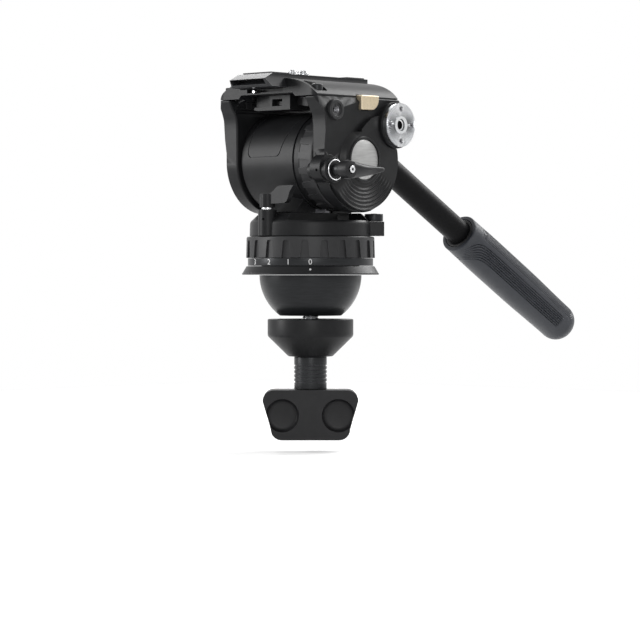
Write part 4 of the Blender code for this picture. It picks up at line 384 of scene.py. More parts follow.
plated_steel = coat(
    "plated_steel", "bright_steel", colour=(0.62, 0.63, 0.64), tone=(0.70, 0.70, 0.71),
    gloss=0.24, spread=0.05, grain=1400, depth=0.000004, metallic=1.0, edge_highlight=(0.85, 0.85, 0.86),
)
oiled_steel = coat(
    "oiled_steel", "dark_steel", colour=(0.10, 0.10, 0.11), tone=(0.15, 0.15, 0.16),
    gloss=0.36, spread=0.06, grain=1400, depth=0.000004, metallic=1.0, edge_highlight=(0.35, 0.35, 0.36),
)


def bridged(build, rings):
    """Faces between each ring of points and the next."""
    for one, two in zip(rings, rings[1:]):
        for index in range(len(one)):
            after = (index + 1) % len(one)
            build.faces.new((one[index], one[after], two[after], two[index]))


def threaded(name, radius, depth, pitch, low, high, at=(0, 0, 0), axis="Z"):
    """Rod with a real helical thread and a small chamfer at its high end."""
    rows = round((high - low) / pitch * THREAD_ROWS_PER_TURN)
    build = bmesh.new()
    rings = []
    for row in range(rows + 1):
        height = low + (high - low) * row / rows
        near_end = min(1, (high - height) / pitch)
        ring = []
        for step in range(THREAD_STEPS):
            angle = 2 * math.pi * step / THREAD_STEPS
            phase = (height / pitch - step / THREAD_STEPS) % 1
            crest = abs(2 * phase - 1)
            reach = radius - depth * (crest * near_end + (1 - near_end))
            ring.append(build.verts.new((reach * math.cos(angle), reach * math.sin(angle), height)))
        rings.append(ring)
    bridged(build, rings)
    build.faces.new(list(reversed(rings[0])))
    build.faces.new(rings[-1])
    return built(name, build, Matrix.Translation(at) @ AXIS_MATRIX[axis])


def refinished(look, *names):
    """Give CAD pieces that stay as they are their finish."""
    for name in names:
        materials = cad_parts[name].data.materials
        materials.clear()
        materials.append(look)


stud = threaded("clamp_stud_threaded", 0.0060, STUD_THREAD_DEPTH, STUD_THREAD_PITCH, -0.1078, -0.0085)
stud_head = turned("clamp_stud_head", [(0, -0.0007), (0.0098, -0.0007, 0.0006), (0.0098, -0.0082, 0.0004),
                                       (0, -0.0082)], steps=48)
fit(stud, plated_steel, "base", "clamp_stud")
fit(stud_head, plated_steel, "base")
refinished(oiled_steel, "pan_spindle", "spindle_nut")


# Bowl clamp
# Cast cup that is drawn up under the bowl by a moulded wing knob. The knob is a broad
# rounded paddle on a turned aluminium neck.

WING_TOP = -0.0843
WING_LOW = -0.1210
WING_HALF_WIDTH = 0.0350
WING_HALF_LOW = 0.0290
WING_HALF_THICK = 0.0150
WING_CORNER = 0.0080
HOLLOW_ACROSS = 0.0205
HOLLOW_UP = -0.1030
NECK_GROOVES = (-0.0660, -0.0690, -0.0720, -0.0750, -0.0780)

moulded_black = coat(
    "moulded_black", "black_plastic", colour=(0.010, 0.010, 0.011), tone=(0.014, 0.014, 0.015),
    gloss=0.42, spread=0.06, grain=3200, depth=0.000015, edge_highlight=(0.045, 0.045, 0.048), specular=0.2,
)


def extruded(name, outline, start, end, plane):
    """Flat outline given a thickness along the axis that its plane leaves out."""
    build = bmesh.new()
    low = []
    high = []
    for row, along in ((low, start), (high, end)):
        for across, up in outline:
            place = {"XY": (across, up, along), "XZ": (across, along, up), "YZ": (along, across, up)}[plane]
            row.append(build.verts.new(place))
    build.faces.new(low)
    build.faces.new(list(reversed(high)))
    for index in range(len(outline)):
        after = (index + 1) % len(outline)
        build.faces.new((low[index], high[index], high[after], low[after]))
    return built(name, build)


def arc(centre, radius, start, end, steps):
    """Points on an arc, angles in degrees from the first axis towards the second."""
    points = []
    for index in range(steps + 1):
        angle = math.radians(start + (end - start) * index / steps)
        points.append((centre[0] + radius * math.cos(angle), centre[1] + radius * math.sin(angle)))
    return points


def final_mesh(piece):
    """Mesh of a piece as its modifiers or its text leave it."""
    bpy.context.view_layer.update()
    return bpy.data.meshes.new_from_object(piece.evaluated_get(bpy.context.evaluated_depsgraph_get()))


def settled(piece):
    """Turn a piece's modifiers into its mesh."""
    mesh = final_mesh(piece)
    piece.modifiers.clear()
    piece.data = mesh
    return piece


def cut(piece, *tools, operation="DIFFERENCE"):
    """Take tools out of a piece, or join them to it. The tools are used up."""
    for tool in tools:
        change = piece.modifiers.new("cut", "BOOLEAN")
        change.operation = operation
        change.solver = "EXACT"
        change.object = tool
    settled(piece)
    for tool in tools:
        bpy.data.objects.remove(tool, do_unlink=True)
    return piece


def softened(piece, width, segments=2, angle=30):
    """Round a piece's edges and give its flat faces flat shading."""
    edges = piece.modifiers.new("soft_edges", "BEVEL")
    edges.width = width
    edges.segments = segments
    edges.limit_method = "ANGLE"
    edges.angle_limit = math.radians(angle)
    edges.miter_outer = "MITER_ARC"
    settled(piece)
    shaded(piece.data)
    flat = piece.modifiers.new("flat_faces", "WEIGHTED_NORMAL")
    flat.keep_sharp = True
    return settled(piece)


fit(turned("clamp_cup_turned", [
    (0.0315, -0.0325, 0.0010), (0.0315, -0.0450, 0.0012), (0.0162, -0.0600, 0.0010), (0.0063, -0.0600),
    (0.0063, -0.0325),
]), cast_black, "cup", "clamp_cup")

neck_profile = [(0.0120, -0.0603, 0.0005)]
for groove in NECK_GROOVES:
    neck_profile += [(0.0120, groove), (0.0114, groove - 0.0004), (0.0114, groove - 0.0010),
                     (0.0120, groove - 0.0014)]
neck_profile += [(0.0120, -0.0840, 0.0004), (0.0063, -0.0840), (0.0063, -0.0603)]
fit(turned("knob_neck_turned", neck_profile), anodised_black, "wing_knob", "knob_neck")

half_wing = arc((WING_HALF_WIDTH - WING_CORNER, WING_TOP - WING_CORNER), WING_CORNER, 90, 0, 8)
half_wing += arc((WING_HALF_LOW - WING_CORNER, WING_LOW + WING_CORNER), WING_CORNER, 0, -90, 8)
wing = extruded("bowl_knob_paddle", half_wing + [(-across, up) for across, up in reversed(half_wing)],
                -WING_HALF_THICK, WING_HALF_THICK, "XZ")
for side, face in ((-1, -1), (-1, 1), (1, -1), (1, 1)):
    hollow_at = Matrix.Translation((side * HOLLOW_ACROSS, face * WING_HALF_THICK, HOLLOW_UP))
    cut(wing, turned("wing_hollow", [
        (0, 0.03), (0.0115, 0.03), (0.0125, 0.0, 0.002), (0.0105, -0.0045, 0.002), (0, -0.0050),
    ], steps=64, place=hollow_at @ Matrix.Rotation(-face * math.pi / 2, 4, "X")))
cut(wing, turned("stud_well", [(0, -0.0800), (0.0063, -0.0800), (0.0063, -0.1100), (0, -0.1100)], steps=48))
softened(wing, 0.0022, segments=4, angle=50)
wing.data.transform(Matrix.Rotation(VIEW_AZIMUTH, 4, "Z"))
fit(wing, moulded_black, "wing_knob", "bowl_knob")


# Pan drag ring
# The number band is anodised aluminium with printed digits. The grip ring above it is
# moulded, with notches that widen downwards, and turns the fluid cartridge inside.

BAND_RADIUS = 0.0460
DIGIT_HEIGHT = 0.0041
CAPITAL_SHARE = 0.72
DIGIT_RISE = 0.00008
DIGIT_LOW = 0.0074
DIGIT_ANGLE = math.radians(20.3)
NOTCHES = 21
STEPS_PER_NOTCH = 8
NOTCH_DEPTH = 0.0017

fit(turned("pan_drag_band", [
    (BAND_RADIUS, 0.0120, 0.0003), (BAND_RADIUS, 0.0066, 0.0003), (0.0363, 0.0066), (0.0363, 0.0120),
]), anodised_black, "pan_drag", "pan_drag_scale")


for digit in range(4):
    letters = bpy.data.curves.new("digit", "FONT")
    letters.body = str(digit)
    letters.align_x = "CENTER"
    letters.size = DIGIT_HEIGHT / CAPITAL_SHARE
    letters.extrude = DIGIT_RISE
    letters.resolution_u = 6
    holder = placed("digit", letters)
    mesh = final_mesh(holder)
    bpy.data.objects.remove(holder, do_unlink=True)
    middle = VIEW_AZIMUTH - math.pi / 2 - digit * DIGIT_ANGLE
    for vertex in mesh.vertices:
        angle = middle + vertex.co.x / BAND_RADIUS
        reach = BAND_RADIUS + vertex.co.z
        vertex.co = (reach * math.cos(angle), reach * math.sin(angle), DIGIT_LOW + vertex.co.y)
    mesh.name = "pan_digit_" + str(digit)
    fit(placed(mesh.name, mesh), print_white, "pan_drag")


def notched_ring(name, inner, outer, low, high, axis, at):
    """Grip ring with notches that are widest at its low end."""
    ring = turned(name, [(outer - 0.0004, high, 0.0014), (outer, low, 0.0004), (inner, low), (inner, high)],
                  steps=NOTCHES * STEPS_PER_NOTCH)
    tools = []
    for notch in range(NOTCHES):
        tool = extruded("notch", [
            (-0.0037, low - 0.002), (0.0037, low - 0.002), (0.0024, high - 0.0040), (0.0016, high - 0.0028),
            (-0.0016, high - 0.0028), (-0.0024, high - 0.0040),
        ], outer - NOTCH_DEPTH, outer + NOTCH_DEPTH, "YZ")
        tool.data.transform(Matrix.Rotation(2 * math.pi * notch / NOTCHES, 4, "Z"))
        tools.append(tool)
    cut(ring, *tools)
    softened(ring, 0.00035, segments=2, angle=28)
    ring.data.transform(Matrix.Translation(at) @ AXIS_MATRIX[axis])
    return ring


ring_black = coat(
    "ring_black", "black_plastic", colour=(0.021, 0.0212, 0.0225), tone=(0.027, 0.0272, 0.0285),
    gloss=0.44, spread=0.06, grain=3200, depth=0.000015, edge_highlight=(0.075, 0.075, 0.078), specular=0.25,
)
fit(notched_ring("pan_drag_grip", 0.0363, 0.0473, 0.0123, 0.0279, "Z", (0, 0, 0)), ring_black, "pan_drag",
    "pan_drag_ring")


# Pan housing
# Black coated aluminium casting that turns on the base. It carries the boss of the pan
# lock at the front, the block of the bubble level, and a stepped pocket under the yoke.

LOCK_X = -0.0030
LOCK_Y = -0.0421
LOCK_AT = (LOCK_X, LOCK_Y, 0)
LEVEL_FROM_AXIS = 0.0465
CROSS_HOLE_ANGLE = math.radians(-71.6)


def bar(radius, low, high, axis="Z", at=(0, 0, 0), steps=48, corner=0.0, name="bar"):
    """Plain round bar between two heights, used as a boss, as a pin or as a drill."""
    return turned(name, [(0, high), (radius, high, corner), (radius, low, corner), (0, low)], axis, at, steps)


def block(name, across, up, start, end, plane):
    """Square block between two values each way, used as a boss or as a cutter."""
    return extruded(name, [(across[0], up[0]), (across[1], up[0]), (across[1], up[1]), (across[0], up[1])],
                    start, end, plane)


housing = turned("pan_housing_cast", [
    (0.0374, 0.0450, 0.0012), (0.0444, 0.0385, 0.0016), (0.0447, 0.0282, 0.0004), (0.0412, 0.0282),
    (0.0412, 0.0370), (0.0103, 0.0370), (0.0103, 0.0450),
])
pocket = extruded("yoke_pocket", [(0.0200, -0.09), (0.09, -0.09), (0.09, 0.0200), (0.0200, 0.0200),
                                  (0.0140, 0.0140), (0.0140, -0.0387)], 0.0395, 0.09, "XY")
cut(housing, pocket)
level_block = block("level_block", (0.0374, 0.0540), (-0.0078, 0.0078), 0.0284, 0.0388, "XY")
level_block.data.transform(Matrix.Rotation(VIEW_AZIMUTH, 4, "Z"))
cut(housing, bar(0.00675, 0.0284, 0.0470, at=LOCK_AT, steps=64), level_block, operation="UNION")
level_at = (LEVEL_FROM_AXIS * math.cos(VIEW_AZIMUTH), LEVEL_FROM_AXIS * math.sin(VIEW_AZIMUTH), 0)
cross_hole = bar(0.0011, 0.0050, 0.0090, "X", steps=20)
cross_hole.data.transform(Matrix.Translation((LOCK_X, LOCK_Y, 0.0402))
                          @ Matrix.Rotation(CROSS_HOLE_ANGLE, 4, "Z"))
cut(housing, bar(0.0412, 0.0200, 0.0370, steps=TURN_STEPS), bar(0.0071, 0.0388, 0.0900, at=level_at),
    bar(0.0031, 0.0390, 0.0480, at=LOCK_AT), cross_hole)
softened(housing, 0.0005, segments=3, angle=34)
fit(housing, cast_black, "pan", "pan_housing")
refinished(plated_steel, "pan_bearing")
refinished(moulded_black, "pan_damper")


# Pan lock
# Steel clamping pin in the housing's boss, with a cast lever keyed to its end. A quarter
# turn presses the pin on the pan spindle.

fit(turned("pan_lock_pin_turned", [
    (0, 0.0487), (0.0042, 0.0487, 0.0004), (0.0042, 0.0473, 0.0003), (0.0028, 0.0473), (0.0028, 0.0393),
    (0, 0.0393),
], at=LOCK_AT, steps=48), plated_steel, "pan_lock", "pan_lock_pin")

lever_side = [(-0.0030, 0.0515), (0.0120, 0.0515), (0.0190, 0.0518), (0.0212, 0.0530), (0.0226, 0.0556),
              (0.0240, 0.0596), (0.0280, 0.0643), (0.0150, 0.0643), (0.0118, 0.0636), (0.0092, 0.0618),
              (0.0066, 0.0598), (0.0040, 0.0586), (-0.0030, 0.0582)]
lever = extruded("pan_lock_lever_cast", [(LOCK_X + across, up) for across, up in lever_side],
                 LOCK_Y - 0.0021, LOCK_Y + 0.0021, "XZ")
cut(lever, bar(0.0055, 0.0490, 0.0585, at=LOCK_AT, steps=56), operation="UNION")
softened(lever, 0.0007, segments=3, angle=34)
fit(lever, cast_black, "pan_lock", "pan_lock_lever")


# Bubble level
# Round level pressed into its block: a black anodised bezel, a clear domed cap with a
# centring ring, and green liquid with one bubble.

VIAL_RADIUS = 0.0054
VIAL_TOP = 0.0448
VIAL_DOME = 0.0007
VIAL_STEPS = 8

level_green, nodes, links, shader = new_look("level_liquid")
level_green["slot"] = "level_glass"
shader.inputs["Roughness"].default_value = 0.05
shader.inputs["Coat Weight"].default_value = 1.0
shader.inputs["Coat Roughness"].default_value = 0.02
swirl = added(nodes, "TexNoise", Scale=260)
tint = added(nodes, "ValToRGB")
tint.color_ramp.elements[0].color = (0.42, 0.55, 0.06, 1)
tint.color_ramp.elements[1].color = (0.62, 0.75, 0.14, 1)
place = added(nodes, "TexCoord")
links.new(place.outputs["Object"], swirl.inputs["Vector"])
links.new(swirl.outputs["Fac"], tint.inputs["Fac"])
links.new(tint.outputs["Color"], shader.inputs["Base Color"])

fit(turned("level_bezel_turned", [
    (0, 0.0402), (0.0057, 0.0402), (0.0057, 0.0446, 0.0003), (0.0068, 0.0446, 0.0004),
    (0.0068, 0.0391, 0.0003), (0, 0.0391),
], at=level_at, steps=72), anodised_black, "pan", "level_bezel")
vial = [(0, VIAL_TOP)]
for step in range(1, VIAL_STEPS + 1):
    vial.append((VIAL_RADIUS * step / VIAL_STEPS, VIAL_TOP - VIAL_DOME * (step / VIAL_STEPS) ** 2))
vial += [(VIAL_RADIUS, 0.0405), (0, 0.0405)]
fit(turned("level_vial_filled", vial, at=level_at, steps=56), level_green, "pan", "level_vial")
fit(turned("level_centre_ring", [(0.0022, 0.04485), (0.0019, 0.04485), (0.0019, 0.04460), (0.0022, 0.04460)],
           at=level_at, steps=40), moulded_black, "pan")
bubble_at = (level_at[0] + 0.0004, level_at[1] + 0.0002, 0)
bubble_clear = coat(
    "bubble_clear", "level_glass", colour=(0.86, 0.90, 0.62), tone=(0.90, 0.93, 0.70),
    gloss=0.08, spread=0.03, grain=500, depth=0.000001,
)
fit(turned("level_bubble", [
    (0, 0.04495), (0.0009, 0.04490), (0.0014, 0.04478), (0.0015, 0.0446), (0, 0.0446),
], at=bubble_at, steps=40), bubble_clear, "pan")


# Tilt drum
# Cast drum bolted to the pan housing by its cone foot. It holds the counterbalance spring
# and the fluid cartridge of the tilt, and has an outlined bare label field at the front.

TILT_Z = 0.0830
DRUM_RADIUS = 0.0360
DRUM_STEPS = 144
DRUM_AT = (0, 0, TILT_Z)
LABEL_LINE = 0.0006
LABEL_LINE_DEPTH = 0.0009
LABEL_LAND_DEPTH = 0.0005

drum = turned("drum_cast", [
    (0.0300, 0.0368, 0.0005), (0.0300, 0.0222), (0.0350, 0.0222, 0.0010), (0.0350, 0.0166),
    (0.0344, 0.0166), (0.0344, 0.0160), (DRUM_RADIUS, 0.0160, 0.0003), (DRUM_RADIUS, -0.0376, 0.0042),
    (0.0143, -0.0376, 0.0004), (0.0143, -0.0332), (0.0096, -0.0332), (0.0096, -0.0326), (0.0250, -0.0326),
    (0.0250, 0.0318), (0.0096, 0.0318), (0.0096, 0.0324), (0.0143, 0.0324), (0.0143, 0.0368, 0.0004),
], "X", DRUM_AT, steps=DRUM_STEPS)
foot = turned("drum_foot", [(0, 0.0580), (0.0230, 0.0580), (0.0330, 0.0453, 0.0010), (0, 0.0453)], steps=80)
cut(foot, block("foot_side", (0.0137, 0.07), (-0.07, 0.07), 0, TILT_Z, "XY"))
cut(drum, foot, operation="UNION")


def label_outline(grow):
    """Front outline of the label field: square corner lines low, open towards the top."""
    low = 0.0860 - grow
    left = -0.0290 - grow
    right = 0.0030 + grow
    outline = [(left, 0.1180)]
    outline += arc((left + 0.0042, low + 0.0042), 0.0042, 180, 270, 6)
    outline += arc((right - 0.0046, low + 0.0046), 0.0046, 270, 342, 6)
    outline.append((right + 0.0080, 0.1180))
    return outline


def label_tool(name, grow, depth):
    """Solid with the label's outline that reaches a little way into the drum."""
    tool = extruded(name, label_outline(grow), -0.0500, -0.0050, "XZ")
    return cut(tool, bar(DRUM_RADIUS - depth, -0.0500, 0.0500, "X", DRUM_AT, steps=DRUM_STEPS))


groove = label_tool("label_groove", LABEL_LINE, LABEL_LINE_DEPTH)
cut(groove, label_tool("label_land", 0, LABEL_LAND_DEPTH))
cut(drum, groove)
cut(drum, bar(0.0165, 0.0400, 0.0520))
softened(drum, 0.00025, segments=2, angle=38)
fit(drum, cast_black, "pan", "drum_housing")

refinished(plated_steel, "left_bearing", "right_bearing")
refinished(moulded_black, "tilt_damper")
refinished(oiled_steel, "counterbalance_spring", "tilt_spindle")


# Tilt drag ring
# Moulded grip ring like the one below, on the drum's neck beside the right arm. It sets
# how hard the fluid cartridge brakes the tilt.

fit(notched_ring("tilt_drag_grip", 0.0303, 0.0372, 0.0226, 0.0362, "X", DRUM_AT), ring_black,
    "tilt_drag", "tilt_drag_ring")


# Yoke arms
# Aluminium castings screwed to the ends of the tilt spindle. They flare at the top to meet
# the platform, fall back below a ridge on their outer side, and carry a rosette boss each.

ARM_IN = 0.0380
ARM_OUT = 0.0520
ARM_TOP = 0.1277
ARM_FRONT = -0.0460
ARM_REAR = 0.0405
ARM_BOTTOM_RADIUS = 0.0380
PLAN_CORNER = 0.0080
REAR_CORNER = 0.0030
PLATFORM_REAR = 0.0410
BAND_FROM = 0.1062
GUSSET_RADIUS = 0.0095
GUSSET_TOP = 0.1271
ROSETTE_Y = 0.0330
ROSETTE_Z = 0.1090
ROSETTE_AT = (0, ROSETTE_Y, ROSETTE_Z)
BOSS_RADIUS = 0.0170
BOSS_END = 0.0560
COVER_BACK = 0.0473
BAND_TOP_IN = 0.0034
RIDGE_STEP = 0.0004
RIDGE_STEP_HEIGHT = 0.002
SIDE_FALL_SHAPE = 0.0000044
SIDE_FALL_ROWS = (0, 0.002, 0.005, 0.009, 0.014, 0.019, 0.024, 0.030, 0.0800)
SIDE_FALL_LIMIT = {-1: 0.0028, 1: 0.0022}
RIDGE_LINE = [(-0.060, 0.0990), (-0.046, 0.1090), (-0.038, 0.1135), (-0.030, 0.1168), (-0.020, 0.1200),
              (-0.010, 0.1228), (0.000, 0.1250), (0.012, 0.1268), (0.026, 0.1276), (0.060, 0.1276)]
LOCK_AXIS_Y = -0.0385
LOCK_AXIS_Z = 0.0745
LOCK_AXIS = (0, LOCK_AXIS_Y, LOCK_AXIS_Z)
SOCKET_Y = -0.0290
SOCKET_Z = 0.1180
SOCKET_AT = (0, SOCKET_Y, SOCKET_Z)
TAB_FRONT = -0.0030
TAB_REAR = 0.0156
TAB_LOW = 0.1190
TAB_TOP = 0.1296
TAB_CORNER = 0.0080
TAB_GAP = 0.0005
TAB_POCKET_FLOOR = 0.0455


def plan_corner_tool(side, along, low, high):
    """Cutter that rounds one upright corner of the yoke, seen from above."""
    edge = ARM_FRONT if along < 0 else PLATFORM_REAR
    radius = PLAN_CORNER if along < 0 else REAR_CORNER
    middle = (ARM_OUT - radius, edge - along * radius)
    outline = []
    for across, forward in arc((0, 0), radius, 90, 0, 12):
        outline.append((side * (middle[0] + across), middle[1] + along * forward))
    far = (side * (ARM_OUT + 0.01), edge + along * 0.01)
    outline += [(far[0], middle[1]), far, (side * middle[0], far[1])]
    return extruded("plan_corner", outline, low, high, "XY")


def side_fall_tool(side):
    """Cutter that leaves the outer side of an arm leaning inwards below its ridge."""
    build = bmesh.new()
    rows = []
    for drop in SIDE_FALL_ROWS:
        inward = RIDGE_STEP * min(1, drop / RIDGE_STEP_HEIGHT) + SIDE_FALL_SHAPE * (drop * 1000) ** 2
        inward = min(inward, SIDE_FALL_LIMIT[side])
        rows.append([build.verts.new((side * (ARM_OUT - inward), along, ridge - drop))
                     for along, ridge in RIDGE_LINE])
    outer = []
    for row in (rows[0], rows[-1]):
        outer.append([build.verts.new((side * (ARM_OUT + 0.01), vertex.co.y, vertex.co.z)) for vertex in row])
    all_rows = rows + [outer[1], outer[0], rows[0]]
    for one, two in zip(all_rows, all_rows[1:]):
        for index in range(len(one) - 1):
            build.faces.new((one[index], one[index + 1], two[index + 1], two[index]))
    for end in (0, -1):
        build.faces.new([row[end] for row in rows] + [outer[1][end], outer[0][end]])
    return built("side_fall", build)


def band_tool(side):
    """Cutter that leaves the band above the ridge leaning in towards its top."""
    build = bmesh.new()
    rows = []
    for inward, outward in ((-0.0002, 0.0100), (BAND_TOP_IN, 0.0100)):
        row = []
        for along, ridge in RIDGE_LINE:
            up = ridge + 0.0002 if inward < 0 else ARM_TOP + 0.0010
            row.append([build.verts.new((side * (ARM_OUT - inward), along, up)),
                        build.verts.new((side * (ARM_OUT + outward), along, up))])
        rows.append(row)
    loops = list(zip(rows[0], rows[1]))
    for (low, high), (low_next, high_next) in zip(loops, loops[1:]):
        build.faces.new((low[0], low_next[0], high_next[0], high[0]))
        build.faces.new((low[1], low_next[1], high_next[1], high[1]))
        build.faces.new((low[0], low_next[0], low_next[1], low[1]))
        build.faces.new((high[0], high_next[0], high_next[1], high[1]))
    for low, high in (loops[0], loops[-1]):
        build.faces.new((low[0], low[1], high[1], high[0]))
    return built("band", build)


def tab_outline(grow):
    """D shaped outline of the release tab, round at its low rear corner."""
    outline = [(TAB_FRONT - grow, TAB_TOP + grow), (TAB_FRONT - grow, TAB_LOW - grow)]
    outline += arc((TAB_REAR - TAB_CORNER + grow, TAB_LOW + TAB_CORNER - grow), TAB_CORNER, -90, 0, 12)
    return outline + [(TAB_REAR + grow, TAB_TOP + grow)]


arm_side = [(ARM_FRONT, ARM_TOP), (-0.0456, 0.1260), (-0.0445, 0.1235), (-0.0428, 0.1208), (-0.0410, 0.1184),
            (-0.0396, 0.1160), (-0.0388, 0.1135), (-0.0384, 0.1100), (-0.0381, 0.1050), (-0.0380, 0.0900)]
arm_side += arc((0, TILT_Z), ARM_BOTTOM_RADIUS, 184, 354, 48)
arm_side += [(ARM_REAR, 0.1165), (ARM_REAR, ARM_TOP)]


def side_span(sign, near, far):
    """Two distances from the middle on one side, the lower value first."""
    return sorted((sign * near, sign * far))


def yoke_arm(side, sign):
    """One arm with its ridge, inner fillet, rosette boss and spindle bore."""
    piece = extruded(side + "_arm_cast", arm_side, *side_span(sign, ARM_IN, ARM_OUT), "YZ")
    softened(piece, 0.0014, segments=3, angle=40)
    cut(piece, side_fall_tool(sign), band_tool(sign), plan_corner_tool(sign, -1, BAND_FROM, ARM_TOP + 0.002))
    middle = (ARM_IN - GUSSET_RADIUS, GUSSET_TOP - GUSSET_RADIUS)
    fillet = arc(middle, GUSSET_RADIUS, 0, 90, 14)
    fillet += [(middle[0], ARM_TOP), (ARM_IN + 0.002, ARM_TOP), (ARM_IN + 0.002, middle[1])]
    gusset = extruded("gusset", [(sign * across, up) for across, up in fillet], -0.0400, 0.0390, "XZ")
    low, high = side_span(sign, ARM_OUT - 0.006, BOSS_END)
    boss = bar(BOSS_RADIUS, low, high, "X", ROSETTE_AT, steps=72, corner=0.0006)
    cut(piece, gusset, boss, operation="UNION")
    hole = bar(0.0033, *side_span(sign, ARM_IN - 0.002, BOSS_END + 0.002), "X", ROSETTE_AT, steps=36)
    spindle_bore = bar(0.0093, *side_span(sign, ARM_IN - 0.002, COVER_BACK), "X", DRUM_AT, steps=56)
    return cut(piece, hole, spindle_bore)


left_arm = yoke_arm("left", -1)
fit(softened(left_arm, 0.0004, angle=34), cast_black, "tilt", "left_arm")

right_arm = yoke_arm("right", 1)
lock_boss = turned("lock_boss", [
    (0, 0.0600), (0.0092, 0.0600, 0.0005), (0.0092, 0.0575, 0.0006), (0.0060, 0.0575, 0.0008),
    (0.0060, ARM_IN, 0.0008), (0, ARM_IN),
], "X", LOCK_AXIS, steps=64)
lock_pad = bar(0.0100, ARM_IN + 0.004, ARM_OUT + 0.0004, "X", (0, LOCK_AXIS_Y + 0.0030, LOCK_AXIS_Z + 0.0014),
               steps=64, corner=0.0005)
cut(right_arm, lock_boss, lock_pad, operation="UNION")
set_screw_hole = bar(0.0011, -0.0080, -0.0045, "Y", (0.0490, LOCK_AXIS_Y, LOCK_AXIS_Z), steps=20)
tab_pocket = extruded("tab_pocket", tab_outline(TAB_GAP), TAB_POCKET_FLOOR, ARM_OUT + 0.01, "YZ")
cut(right_arm, bar(0.0033, 0.0397, 0.0700, "X", LOCK_AXIS, steps=32), set_screw_hole, tab_pocket,
    bar(0.0058, 0.0467, 0.0600, "X", SOCKET_AT, steps=48))
fit(softened(right_arm, 0.0004, angle=34), cast_black, "tilt", "right_arm")


# Covers and silver discs
# Moulded caps over the ends of the spindle, clipped to the arms. The right one has ridges
# in its lower half. Each holds a brushed aluminium disc in a raised bezel, left bare.

COVER_RADIUS = 0.0366
COVER_FACE = 0.0537
BEZEL_RADIUS = 0.0165
BADGE_RADIUS = 0.0144
RIDGES = 6
RIDGE_START = 0.0188
RIDGE_DEPTH = 0.00085
RIDGE_FROM_ANGLE = 219
RIDGE_TO_ANGLE = 333
RIDGE_FADE = 16
RIDGE_OUTER = COVER_RADIUS - 0.0006
RIDGE_ROUNDNESS = 0.7
FALL_DEPTH = 0.0056
FALL_FROM_ANGLE = 96
FALL_TO_ANGLE = {-1: 264, 1: RIDGE_FROM_ANGLE}
FALL_FADE = 16
FALL_START = 0.0172
FALL_WIDTH = 0.0070
COVER_ROWS = 108
COVER_COLUMNS = 240

brushed_silver = coat(
    "brushed_silver", "silver_disc", colour=(0.34, 0.34, 0.335), tone=(0.42, 0.42, 0.415),
    gloss=0.36, spread=0.06, grain=900, depth=0.000004, metallic=0.75, stretch=(1, 1, 12),
    edge_highlight=(0.85, 0.85, 0.84),
)
cover_black = coat(
    "cover_black", "black_plastic", colour=(0.0090, 0.0092, 0.0098), tone=(0.0120, 0.0122, 0.0130),
    gloss=0.36, spread=0.05, grain=3000, depth=0.000012, edge_highlight=(0.030, 0.031, 0.033), specular=0.2,
)


def ridge_depth(radius, angle):
    """How far the face lies back at a place: round-topped ridges that fade at both ends."""
    if radius < RIDGE_START:
        return 0
    phase = (radius - RIDGE_START) / (RIDGE_OUTER - RIDGE_START) * RIDGES
    wave = 0.5 - 0.5 * math.cos(2 * math.pi * min(phase, RIDGES))
    inside = min(angle - RIDGE_FROM_ANGLE, RIDGE_TO_ANGLE - angle) / RIDGE_FADE
    return RIDGE_DEPTH * wave ** RIDGE_ROUNDNESS * max(0, min(1, inside))


def cover_fall(radius, angle, sign):
    """How far the face sinks into the arm, on the front side of the disc."""
    share = max(0, min(1, min(angle - FALL_FROM_ANGLE, FALL_TO_ANGLE[sign] - angle) / FALL_FADE))
    share *= max(0, min(1, (radius - FALL_START) / FALL_WIDTH))
    return FALL_DEPTH * share * share * (3 - 2 * share)


def cover_disc(name, sign):
    """Round cover with its bezel, built in rings so that its ridges are real."""
    build = bmesh.new()
    profile = [(BADGE_RADIUS + 0.0003, COVER_BACK), (BADGE_RADIUS + 0.0003, COVER_FACE + 0.0009),
               (BADGE_RADIUS + 0.0006, COVER_FACE + 0.0012), (BEZEL_RADIUS - 0.0005, COVER_FACE + 0.0012),
               (BEZEL_RADIUS - 0.0001, COVER_FACE + 0.0009), (BEZEL_RADIUS, COVER_FACE + 0.0002),
               (BEZEL_RADIUS + 0.0003, COVER_FACE)]
    for row in range(1, COVER_ROWS + 1):
        profile.append((BEZEL_RADIUS + 0.0003 + (RIDGE_OUTER - BEZEL_RADIUS) * row / COVER_ROWS, COVER_FACE))
    profile += [(COVER_RADIUS, COVER_FACE - 0.0004), (COVER_RADIUS, COVER_BACK)]
    rings = []
    for radius, height in profile:
        ring = []
        for column in range(COVER_COLUMNS):
            angle = 360 * column / COVER_COLUMNS
            back = 0
            if COVER_FACE - 0.0005 < height <= COVER_FACE:
                back = cover_fall(radius, angle, sign)
                if sign > 0:
                    back = max(back, ridge_depth(radius, angle))
            ring.append(build.verts.new((sign * (height - back), radius * math.cos(math.radians(angle)),
                                         TILT_Z + radius * math.sin(math.radians(angle)))))
        rings.append(ring)
    bridged(build, rings + rings[:1])
    return built(name, build)


